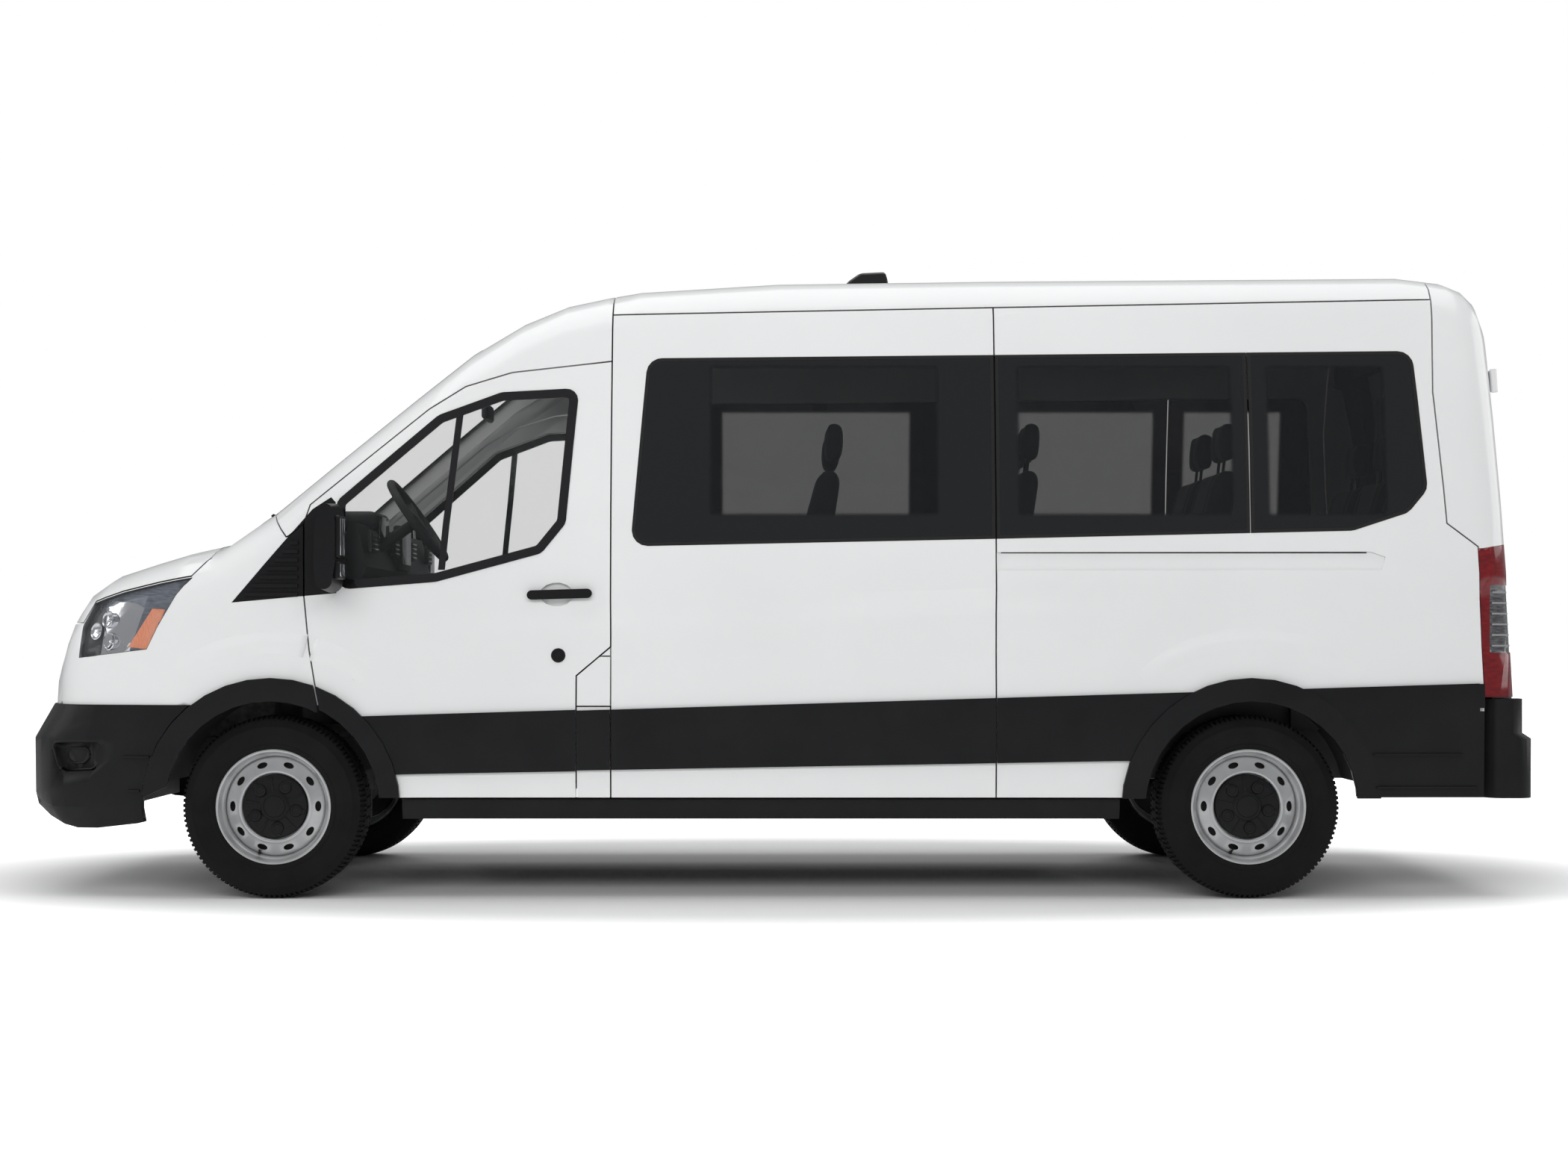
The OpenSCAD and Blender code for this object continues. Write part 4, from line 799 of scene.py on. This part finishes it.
CLEAR_LOW = 0.945
CLEAR_HIGH = 1.205
CLEAR_FRONT = -2.752
SLATS = 6
SLAT_Z = 0.972
SLAT_STEP = 0.041
SLAT_POINTS = 9
for side, word in SIDES:
    look = Vector((0.75, side, 0.25)).normalized()
    lens = lamp_face(side, look)
    push(lens, lens.faces[:], -look * LENS_WALL)
    piece("headlamp_lens_" + word, lens, lamp_lens, "body", "lamp_clear", replaces=("headlamps",))
    bowl = lamp_face(side, look)
    cut_along(bowl, amber_area)
    cut_along(bowl, reflector_area)
    mouth = bowl.faces[:]
    back = push(bowl, mouth, -look * BOWL_DEPTH)
    bmesh.ops.delete(bowl, geom=mouth, context="FACES")
    amber, bright = [], []
    for face in back:
        spot = face.calc_center_median() + look * BOWL_DEPTH
        if inside(amber_area, spot.x, spot.z):
            face.material_index = AMBER
            amber.append(face)
        elif inside(reflector_area, spot.x, spot.z):
            face.material_index = BRIGHT
            bright.append(face)
        else:
            face.material_index = VEIL if spot.x < VEIL_FRONT else HOUSING
    push(bowl, amber, look * 0.006)
    push(bowl, bright, -look * 0.004)
    bmesh.ops.solidify(bowl, geom=bowl.faces[:], thickness=BOWL_WALL)
    bowl_finishes = (lamp_housing, chrome, lamp_veil, lamp_amber)
    piece("headlamp_bowl_" + word, bowl, bowl_finishes, "body", "lamp_clear")
    bulbs = bmesh.new()
    turn = look.to_track_quat("Z", "Y").to_matrix().to_4x4()
    for x, z in reflector_spots:
        spot = on_side(x, z, side, "headlamps")
        if spot:
            bulb = bmesh.new()
            turned(bulb, bulb_profile, 32)
            put(bulb, Matrix.Translation(spot - look * 0.019) @ turn)
            join_to(bulbs, bulb)
    piece("headlamp_reflectors_" + word, bulbs, chrome, "body", "lamp_clear")

    tail = copy_of("tail_lamps", lambda spot: spot.y * side > 0.3)
    for height in (CLEAR_HIGH, CLEAR_LOW):
        slice_at(tail, (0, 0, height), UP)
    slice_at(tail, (CLEAR_FRONT, 0, 0), AHEAD)
    behind = Vector((-1, side, 0)).normalized()
    clear = []
    for face in tail.faces:
        spot = face.calc_center_median()
        if face.normal.dot(behind) > 0.3 and CLEAR_LOW < spot.z < CLEAR_HIGH and spot.x < CLEAR_FRONT:
            face.material_index = 1
            clear.append(face)
    bmesh.ops.inset_region(tail, faces=clear, thickness=0.004, depth=-0.005, use_even_offset=False)
    piece("tail_lamp_" + word, tail, (lamp_red, lamp_smoke), "body", "lamp_red", replaces=("tail_lamps",))
    slats = bmesh.new()
    for i in range(SLATS):
        centre = Vector((-2.68, side * 0.86, SLAT_Z + SLAT_STEP * i))
        path = []
        for k in range(SLAT_POINTS):
            turn = radians(22 + 8 * k)
            way = Vector((-sin(turn), side * cos(turn), 0))
            spot = on_skin(("tail_lamps",), centre + way * 0.6, -way)
            if spot and spot.x < -2.755:
                path.append(spot - way * 0.0045)
        ribbon(slats, path, 0.007, UP, behind, 0.004)
    piece("tail_lamp_slats_" + word, slats, chrome, "body", "lamp_clear")

STOP_HALF = 0.024
stop = copy_of("tail_lamps", lambda spot: abs(spot.y) < 0.3)
heights = [v.co.z for v in stop.verts]
stop_mid = (min(heights) + max(heights)) / 2
for height in (stop_mid - STOP_HALF, stop_mid + STOP_HALF):
    slice_at(stop, (0, 0, height), UP)
for face in stop.faces:
    lit = abs(face.calc_center_median().z - stop_mid) < STOP_HALF and face.normal.x < -0.4
    face.material_index = 0 if lit else 1
strip = [f for f in stop.faces if f.material_index == 0]
bmesh.ops.inset_region(stop, faces=strip, thickness=0.006, depth=-0.002, use_even_offset=False)
piece("high_stop_lamp", stop, (lamp_red, white_paint), "body", "lamp_red", replaces=("tail_lamps",))


# Door fittings, wipers and outer trim

MIRROR_Y = 1.150
mirror_spans = ((1.300, 1.462), (1.222, 1.290))
RIBS = 7
RIB_Z = 1.168
RIB_STEP = 0.033
SAIL_FOOT = (2.045, 1.137)
SAIL_LEAN = 0.887
SAIL_REAR = 1.812
lock_profile = [(0.0275, -0.004), (0.0275, 0.002), (0.0245, 0.0055), (0.017, 0.0062), (0.0165, 0.0045),
                (0.0, 0.0040)]
lock_place = (0.816, 0.935)
for side, word in SIDES:
    door = "front_door_" + word
    bezel, glass = bmesh.new(), bmesh.new()
    for low, high in mirror_spans:
        y = side * MIRROR_Y
        block(bezel, (1.612, y - 0.070, low), (1.640, y + 0.070, high), 0.012, 3)
        block(glass, (1.6095, y - 0.060, low + 0.010), (1.620, y + 0.060, high - 0.010), 0.004)
    piece("mirror_bezel_" + word, bezel, black_trim, door)
    piece("mirror_glass_" + word, glass, mirror_glass, door, "clear_glass")

    ribs = bmesh.new()
    for i in range(RIBS):
        z = RIB_Z + RIB_STEP * i
        front = SAIL_FOOT[0] - (z - SAIL_FOOT[1]) * SAIL_LEAN
        path = along_side((front, z), (SAIL_REAR, z), 5, side, "body_mouldings")
        if len(path) > 1:
            ribbon(ribs, path, 0.014, UP, OUT * side, 0.009)
    piece("sail_ribs_" + word, ribs, black_trim, "body")

    plug = bmesh.new()
    turned(plug, lock_profile, 36)
    turn = (OUT * side).to_track_quat("Z", "X").to_matrix().to_4x4()
    put(plug, Matrix.Translation(on_side(*lock_place, side, door)) @ turn)
    piece("door_lock_" + word, plug, black_trim, door)

WIPE_STEPS = 8
WIPE_Z = 1.478
WIPE_RISE = 0.020
wipe_out = Vector((0.62, 0, 0.78))
for name, start, end in (("left", 0.70, 0.06), ("right", 0.02, -0.60)):
    blade, arm = bmesh.new(), bmesh.new()
    line = []
    for k in range(WIPE_STEPS + 1):
        look_from = (4, start + (end - start) * k / WIPE_STEPS, WIPE_Z + WIPE_RISE * k / WIPE_STEPS)
        line.append(on_skin(("windscreen",), look_from, -AHEAD))
    ribbon(blade, [p + wipe_out * 0.002 for p in line], 0.012, Vector((0.78, 0, -0.62)), wipe_out, 0.012)
    piece("wiper_blade_" + name, blade, sealing_rubber, "body")
    middle = line[WIPE_STEPS // 2] + wipe_out * 0.018
    foot = Vector((2.105, end + 0.03, 1.440))
    knee, tip = foot + Vector((0.0, 0.05, 0.022)), middle + Vector((0.004, -0.10, 0.004))
    rod(arm, [foot, knee, tip, middle], 0.007)
    block(arm, foot - Vector((0.02, 0.022, 0.03)), foot + Vector((0.02, 0.022, 0.012)), 0.008)
    piece("wiper_arm_" + name, arm, black_trim, "body")

fin_low, fin_high = (Vector(c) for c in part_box("antenna"))
fin_mid = (fin_low + fin_high) / 2
fin_side = ((0.112, -0.004), (0.060, 0.060), (0.010, 0.094), (-0.096, 0.099), (-0.108, 0.060),
            (-0.112, -0.004))
ROOF_TOP = 2.456
FIN_HALF = 0.034
fin = bmesh.new()
plate(fin, [(fin_mid.x + x, fin_mid.y - FIN_HALF, ROOF_TOP + z) for x, z in fin_side], (0, 2 * FIN_HALF, 0))
rounded(fin, fin.edges[:], 0.012, 3)
piece("roof_fin", fin, gloss_black, "body", "black_plastic", 40.0, ("antenna",))

core = bmesh.new()
block(core, (2.700, -0.72, 0.300), (2.716, 0.72, 0.735), 0.004)
block(core, (2.676, -0.57, 0.735), (2.688, 0.57, 1.010), 0.004)
for i in range(14):
    block(core, (2.712, -0.60, 0.318 + 0.030 * i), (2.724, 0.60, 0.326 + 0.030 * i), 0.002)
for i in range(9):
    block(core, (2.710, -0.564 + 0.138 * i, 0.305), (2.720, -0.540 + 0.138 * i, 0.730), 0.002)
piece("radiator_core", core, underbody, "body", "chassis")

CORNER_X = -2.7155
CORNER_LOW = 0.734
CORNER_HIGH = 0.826
# Height and ends of a painted shadow strip along the upper edge of the sliding door rail's groove
RAIL_Z = 1.3285
RAIL_FRONT = -0.88
RAIL_REAR = -2.28
# Height, front end, rear end and the node that carries each ledge
ledge_lines = ((0.545, 2.490, 2.330, "front_bumper"), (0.415, 2.470, 2.330, "front_bumper"),
               (0.556, -2.300, -2.640, "body_mouldings"), (0.430, -2.310, -2.700, "body_mouldings"))
for side, word in SIDES:
    quarter = "quarter_" + word
    corner = bmesh.new()
    spots = along_side((CORNER_X, CORNER_LOW), (CORNER_X, CORNER_HIGH), 5, side, quarter)
    ribbon(corner, spots, 0.021, AHEAD, OUT * side, 0.0145)
    piece("rear_corner_trim_" + word, corner, black_trim, "body")
    # A thin dark strip along the upper edge of the rail groove: painted shadow under the groove's lip, not a
    # seal
    groove_shadow = bmesh.new()
    spots = along_side((RAIL_FRONT, RAIL_Z), (RAIL_REAR, RAIL_Z), 10, side, quarter, "side_panel_left",
                       "sliding_door")
    ribbon(groove_shadow, spots, 0.005, UP, OUT * side, 0.0015)
    piece("rail_groove_painted_shadow_" + word, groove_shadow, sealing_rubber, "body")
    ledges = bmesh.new()
    for z, front, rear, node in ledge_lines:
        spots = [spot for spot in along_side((front, z), (rear, z), 6, side, node) if abs(spot.y) > 0.6]
        if len(spots) > 1:
            ribbon(ledges, spots, 0.008, UP, OUT * side, 0.009)
    piece("bumper_ledges_" + word, ledges, black_trim, "body")

CORNER_CUT = 0.022
fog_outline = [(2.765, 0.590), (2.600, 0.592), (2.618, 0.508), (2.735, 0.500)]
for side, word in SIDES:
    frame_ring = bmesh.new()
    mid = Vector((sum(x for x, z in fog_outline) / 4, sum(z for x, z in fog_outline) / 4))
    for size, bead in ((1.26, 0.0055), (0.66, 0.0045)):
        spots = [mid + (Vector(c) - mid) * size for c in fog_outline]
        loop = []
        for a, b, c in zip(spots[-1:] + spots[:-1], spots, spots[1:] + spots[:1]):
            for turn in (0.0, 0.3, 0.7, 1.0):
                near = b + (a - b).normalized() * CORNER_CUT * (1 - turn)
                near += (c - b).normalized() * CORNER_CUT * turn
                loop.append(near + (b - near) * 0.35 * (1 - abs(2 * turn - 1)))
        line = [on_side(p.x, p.y, side, "front_bumper") for p in loop + loop[:1]]
        rod(frame_ring, line, bead, 8)
    piece("fog_recess_frames_" + word, frame_ring, black_trim, "body")


# Seats

FLOOR_Z = 0.640
SEAT_W = 0.50
LEG_TOP = FLOOR_Z + 0.325
# Side views of the pads, as (x, z) from the seat's place on the floor
cushion_side = [(-0.05, 0.325), (0.475, 0.350), (0.495, 0.400), (0.478, 0.440), (0.43, 0.447),
                (0.06, 0.412), (-0.06, 0.425)]
back_side = [(-0.080, 0.345), (-0.005, 0.345), (0.045, 0.445), (-0.115, 1.030), (-0.180, 1.022)]
rest_side = [(-0.128, 1.068), (-0.138, 1.215), (-0.197, 1.206), (-0.188, 1.064)]
# Place of each seat, and its width against a front seat
seat_spots = [(0.795, 0.430, 1.0), (0.795, -0.430, 1.0)]
seat_spots += [(-2.425, y, 0.94) for y in (0.600, 0.100, -0.400)]
seat_spots += [(x, y, 0.94) for x in (-1.645, -0.865, -0.085) for y in (0.600, 0.100)]


def sewn_form(side, width, edge):
    """A closed form with the side view of a pad, as it is cut before it is filled."""
    bm = bmesh.new()
    plate(bm, [(x, -width / 2, z) for x, z in side], (0, width, 0))
    rounded(bm, bm.edges[:], edge, 2)
    return bm


def as_mesh(obj):
    """The object's mesh with its modifiers worked in."""
    return bpy.data.meshes.new_from_object(obj.evaluated_get(bpy.context.evaluated_depsgraph_get()))


def filled(bm, voxel, cap):
    """Fills a sewn form: even quads, then cloth under pressure, with the swell held back."""
    data = bpy.data.meshes.new("form")
    bm.to_mesh(data)
    bm.free()
    obj = bpy.data.objects.new("form", data)
    scene.collection.objects.link(obj)
    even = obj.modifiers.new("even", "REMESH")
    even.mode = "VOXEL"
    even.voxel_size = voxel
    mesh = as_mesh(obj)
    obj.modifiers.clear()
    obj.data = mesh
    cloth = obj.modifiers.new("fill", "CLOTH")
    cloth.settings.use_pressure = True
    cloth.settings.uniform_pressure_force = 4.0
    cloth.settings.effector_weights.gravity = 0.0
    for step in range(1, 15):
        scene.frame_set(step)
    swollen = as_mesh(obj)
    obj.modifiers.clear()
    for start, end in zip(mesh.vertices, swollen.vertices):
        move = end.co - start.co
        if move.length > cap:
            move *= cap / move.length
        start.co += move
    scene.frame_set(1)
    bpy.data.objects.remove(obj)
    return mesh


def sewn_channels(mesh, way, lines, depth, width):
    """Draws in the sewn lines across the face of a pad."""
    way = Vector(way).normalized()
    for v in mesh.vertices:
        if v.normal.dot(way) > 0.35:
            near = min(abs(v.co[axis] - spot) for axis, spot in lines)
            v.co -= way * depth * exp(-(near / width) ** 2)


cushion = filled(sewn_form(cushion_side, SEAT_W - 0.02, 0.026), 0.011, 0.014)
sewn_channels(cushion, UP, [(1, 0.145), (1, -0.145), (0, 0.400)], 0.008, 0.011)
backrest = filled(sewn_form(back_side, SEAT_W - 0.02, 0.024), 0.011, 0.012)
sewn_channels(backrest, (0.95, 0, 0.2), [(1, 0.145), (1, -0.145), (2, 0.800)], 0.008, 0.011)
head_pad = filled(sewn_form(rest_side, 0.25, 0.022), 0.009, 0.007)
sewn_channels(head_pad, (1, 0, 0), [(1, 0.0)], 0.004, 0.009)

pads = (("cushion", cushion, 0.8), ("back", backrest, 0.8), ("headrest", head_pad, 0.9))
for number, (x, y, wide) in enumerate(seat_spots):
    row = "front_seats" if number < 2 else "rear_seats"
    for part, mesh, fill in pads:
        pad = bmesh.new()
        pad.from_mesh(mesh)
        put(pad, Matrix.Translation((x, y, FLOOR_Z)) @ Matrix.Diagonal((1, wide, 1, 1)))
        obj = piece(f"seat_{part}_{number + 1}", pad, seat_cloth, "body", "seat_cloth", 180.0, (row,))
    legs = bmesh.new()
    for leg in (-0.165, 0.165):
        block(legs, (x + 0.05, y + leg - 0.018, FLOOR_Z), (x + 0.39, y + leg + 0.018, LEG_TOP), 0.008)
    block(legs, (x + 0.03, y - 0.19, LEG_TOP - 0.040), (x + 0.42, y + 0.19, LEG_TOP), 0.008)
    for post in (-0.055, 0.055):
        rod(legs, [(x - 0.148, y + post, FLOOR_Z + 1.00), (x - 0.158, y + post, FLOOR_Z + 1.09)], 0.006)
    piece(f"seat_frame_{number + 1}", legs, dash_plastic, "body", "interior_plastic")


# Cab

dash_vents = (-0.74, -0.25, 0.19, 0.74)
cab = bmesh.new()
block(cab, (1.585, 0.235, 1.440), (1.800, 0.565, 1.512), 0.028, 3)
block(cab, (1.556, -0.135, 1.285), (1.590, 0.135, 1.475), 0.010)
for y in dash_vents:
    block(cab, (1.562, y - 0.072, 1.335), (1.580, y + 0.072, 1.425), 0.008)
piece("dash_fittings", cab, dash_plastic, "body", "interior_plastic")
screens = bmesh.new()
block(screens, (1.553, -0.118, 1.312), (1.560, 0.118, 1.455), 0.002)
block(screens, (1.580, 0.285, 1.400), (1.590, 0.515, 1.495), 0.004)
for y in dash_vents:
    for i in range(4):
        block(screens, (1.5575, y - 0.060, 1.348 + 0.019 * i), (1.566, y + 0.060, 1.355 + 0.019 * i), 0.001)
piece("dash_screens_and_vents", screens, gloss_black, "body", "interior_plastic")
looking = bmesh.new()
block(looking, (1.195, -0.115, 1.925), (1.222, 0.115, 1.995), 0.012, 3)
rod(looking, [(1.215, 0, 1.965), (1.255, 0, 2.010), (1.262, 0, 2.035)], 0.009)
block(looking, (1.235, -0.05, 2.025), (1.285, 0.05, 2.045), 0.008)
piece("cab_mirror", looking, dash_plastic, "body", "interior_plastic")

CARD_TOP = 1.150
CARD_FOOT = 0.470
CARD_RIM = 0.030
CARD_WALL = 0.012


def on_door(bm, inner, side, ends, depths, heights, edge, segments=2):
    """A rounded block on the inner face of a door."""
    low, high = sorted(inner - side * depth for depth in depths)
    block(bm, (ends[0], low, heights[0]), (ends[1], high, heights[1]), edge, segments)


for side, word in SIDES:
    door = "front_door_" + word
    card = copy_of(door)
    slice_at(card, (0, 0, CARD_TOP), UP, clear=True)
    slice_at(card, (0, 0, CARD_FOOT), -UP, clear=True)
    card.normal_update()
    keep_faces(card, facing(card, -OUT * side, 0.7))
    bmesh.ops.dissolve_faces(card, faces=card.faces[:], use_verts=False)
    panel = max(card.faces, key=lambda f: f.calc_area())
    keep_faces(card, [panel])
    rim = bmesh.ops.inset_individual(card, faces=[panel], thickness=CARD_RIM, use_even_offset=True)["faces"]
    bmesh.ops.delete(card, geom=rim, context="FACES")
    push(card, card.faces[:], -OUT * side * CARD_WALL)
    outwards(card)
    inner = on_skin((door,), (1.20, 0, 1.00), (0, side, 0)).y
    on_door(card, inner, side, (0.90, 1.48), (0.070, 0.008), (0.965, 1.020), 0.018, 3)
    on_door(card, inner, side, (0.95, 1.52), (0.050, 0.008), (0.545, 0.680), 0.016, 3)
    piece("door_card_" + word, card, trim_grey, door, "interior_plastic")
    pull = bmesh.new()
    on_door(pull, inner, side, (1.42, 1.56), (0.034, 0.010), (1.060, 1.095), 0.008)
    piece("door_pull_" + word, pull, gloss_black, door, "interior_plastic")


# Under the hood

cover = bmesh.new()
block(cover, (2.16, -0.27, 1.060), (2.62, 0.23, 1.105), 0.018, 3)
for i in range(5):
    block(cover, (2.20, -0.215 + 0.095 * i, 1.100), (2.58, -0.185 + 0.095 * i, 1.113), 0.005)
block(cover, (2.28, -0.62, 0.860), (2.60, -0.40, 1.060), 0.022, 3)
for i in range(5):
    block(cover, (2.31 + 0.058 * i, -0.60, 1.055), (2.33 + 0.058 * i, -0.42, 1.068), 0.004)
piece("engine_cover_and_air_box", cover, black_trim, "body")
battery = bmesh.new()
block(battery, (2.26, 0.42, 0.850), (2.52, 0.60, 1.030), 0.008)
block(battery, (2.255, 0.415, 0.985), (2.525, 0.605, 1.045), 0.010)
for x in (2.30, 2.48):
    block(battery, (x - 0.016, 0.445, 1.040), (x + 0.016, 0.475, 1.066), 0.005)
piece("battery", battery, dash_plastic, "body")
bottle = bmesh.new()
block(bottle, (2.30, 0.645, 0.900), (2.46, 0.775, 1.040), 0.030, 3)
lid = bmesh.new()
turned(lid, [(0.0, 0.0), (0.026, 0.0), (0.026, 0.018), (0.022, 0.022), (0.0, 0.022)], 20)
put(lid, Matrix.Translation((2.38, 0.71, 1.036)))
piece("coolant_bottle", bottle, trim_grey, "body", "engine")
piece("coolant_cap", lid, gloss_black, "body", "engine")
hoses = bmesh.new()
rod(hoses, [(2.60, -0.50, 0.98), (2.68, -0.48, 1.00), (2.72, -0.40, 1.01), (2.70, -0.28, 1.03),
            (2.62, -0.20, 1.05)], 0.032, 16)
rod(hoses, [(2.38, 0.66, 0.93), (2.42, 0.58, 1.075), (2.52, 0.40, 1.085), (2.60, 0.20, 1.075)], 0.016, 12)
piece("engine_hoses", hoses, sealing_rubber, "body", "engine")


# Rear fittings

handle = bmesh.new()
back = on_skin(("rear_door_left",), (-4, 0.075, 1.06), (1, 0, 0)).x
block(handle, (back - 0.006, 0.030, 1.000), (back + 0.004, 0.180, 1.110), 0.004)
block(handle, (back - 0.028, 0.042, 1.062), (back - 0.002, 0.168, 1.092), 0.009, 3)
piece("rear_door_handle", handle, black_trim, "rear_door_left")
STEP_RIBS = 5
STEP_RIB_X = -2.925
STEP_RIB_GAP = 0.022
treads = bmesh.new()
for i in range(STEP_RIBS):
    x = STEP_RIB_X + STEP_RIB_GAP * i
    path = [on_skin(("rear_bumper",), (x, -0.62 + 0.155 * k, 3), -UP) for k in range(9)]
    path = [spot for spot in path if spot and 0.6 < spot.z < 0.8]
    if len(path) > 1:
        ribbon(treads, path, 0.010, AHEAD, UP, 0.004)
piece("bumper_step_ribs", treads, black_trim, "body")


# Floor, light and camera

floor_mesh = bmesh.new()
bmesh.ops.create_grid(floor_mesh, x_segments=1, y_segments=1, size=60.0)
floor_data = bpy.data.meshes.new("floor")
floor_mesh.to_mesh(floor_data)
floor_mesh.free()
floor = bpy.data.objects.new("floor", floor_data)
floor.location.z = -0.001
scene.collection.objects.link(floor)
pale_floor = finish("pale_floor", (0.9, 0.9, 0.9), 0.9)
mottle(pale_floor, 0.4, (0.895, 0.895, 0.895), (0.905, 0.905, 0.905))
floor_data.materials.append(pale_floor)
floor_tree = pale_floor.node_tree
from_van = floor_tree.nodes.new("ShaderNodeTexCoord")
ellipse = floor_tree.nodes.new("ShaderNodeMapping")
ellipse.inputs["Scale"].default_value = (0.6, 1.2, 1.0)
reach = floor_tree.nodes.new("ShaderNodeVectorMath")
reach.operation = "LENGTH"
fade = floor_tree.nodes.new("ShaderNodeMapRange")
fade.interpolation_type = "SMOOTHSTEP"
fade.inputs["From Min"].default_value = 1.75
fade.inputs["From Max"].default_value = 2.9
fade.inputs["To Max"].default_value = 0.9
floor_tree.links.new(from_van.outputs["Object"], ellipse.inputs["Vector"])
floor_tree.links.new(ellipse.outputs["Vector"], reach.inputs[0])
floor_tree.links.new(reach.outputs["Value"], fade.inputs["Value"])
floor_shader = floor_tree.nodes["Principled BSDF"]
floor_shader.inputs["Emission Color"].default_value = (1.0, 1.0, 1.0, 1.0)
seen = floor_tree.nodes.new("ShaderNodeLightPath")
only_seen = floor_tree.nodes.new("ShaderNodeMath")
only_seen.operation = "MULTIPLY"
floor_tree.links.new(fade.outputs["Result"], only_seen.inputs[0])
floor_tree.links.new(seen.outputs["Is Camera Ray"], only_seen.inputs[1])
floor_tree.links.new(only_seen.outputs["Value"], floor_shader.inputs["Emission Strength"])

world = bpy.data.worlds.new("studio")
scene.world = world
world.use_nodes = True
world_tree = world.node_tree
glow = world_tree.nodes["Background"]
glow.inputs["Color"].default_value = (0.97, 0.98, 1.0, 1.0)
glow.inputs["Strength"].default_value = 0.3
backdrop = world_tree.nodes.new("ShaderNodeBackground")
backdrop.inputs["Color"].default_value = (1.0, 1.0, 1.0, 1.0)
backdrop.inputs["Strength"].default_value = 1.0
path = world_tree.nodes.new("ShaderNodeLightPath")
either = world_tree.nodes.new("ShaderNodeMixShader")
world_tree.links.new(path.outputs["Is Camera Ray"], either.inputs[0])
world_tree.links.new(glow.outputs[0], either.inputs[1])
world_tree.links.new(backdrop.outputs[0], either.inputs[2])
world_tree.links.new(either.outputs[0], world_tree.nodes["World Output"].inputs["Surface"])
scene.view_settings.view_transform = "Standard"


def softbox(name, place, target, size, power, mirrored=True):
    """A large soft lamp that looks at a point, and that may stay out of reflections."""
    data = bpy.data.lights.new(name, "AREA")
    data.shape = "RECTANGLE"
    data.size, data.size_y = size
    data.energy = power
    lamp = bpy.data.objects.new(name, data)
    lamp.location = place
    lamp.rotation_euler = (Vector(target) - Vector(place)).to_track_quat("-Z", "Y").to_euler()
    lamp.visible_glossy = mirrored
    scene.collection.objects.link(lamp)


softbox("sky", (0, 0.5, 9.0), (0, 0, 0), (14, 9), 470)
softbox("left", (1.0, 9.5, 5.0), (0, 0, 1.0), (10, 3), 410, False)
softbox("front", (9.0, 2.0, 4.0), (0, 0, 1.0), (6, 4), 120)
softbox("rear", (-9.0, 0.0, 4.0), (0, 0, 1.0), (6, 4), 120)
softbox("right", (0.0, -9.5, 5.0), (0, 0, 1.0), (9, 3), 370, False)

# Width, focal length and shifts of the image in pixels, and the sensor's width in millimetres
IMAGE_W = 2100.0
FOCAL = 3164.0
SHIFT_X = 10.0
SHIFT_Y = 67.5
SENSOR = 36.0
camera_data = bpy.data.cameras.new("camera")
camera_data.sensor_width = SENSOR
camera_data.lens = FOCAL / IMAGE_W * SENSOR
camera_data.shift_x = SHIFT_X / IMAGE_W
camera_data.shift_y = SHIFT_Y / IMAGE_W
camera_data.clip_end = 200.0
camera = bpy.data.objects.new("camera", camera_data)
camera.location = (-0.020, 10.05, 1.0)
camera.rotation_euler = (radians(90), 0, radians(180))
scene.collection.objects.link(camera)
scene.camera = camera
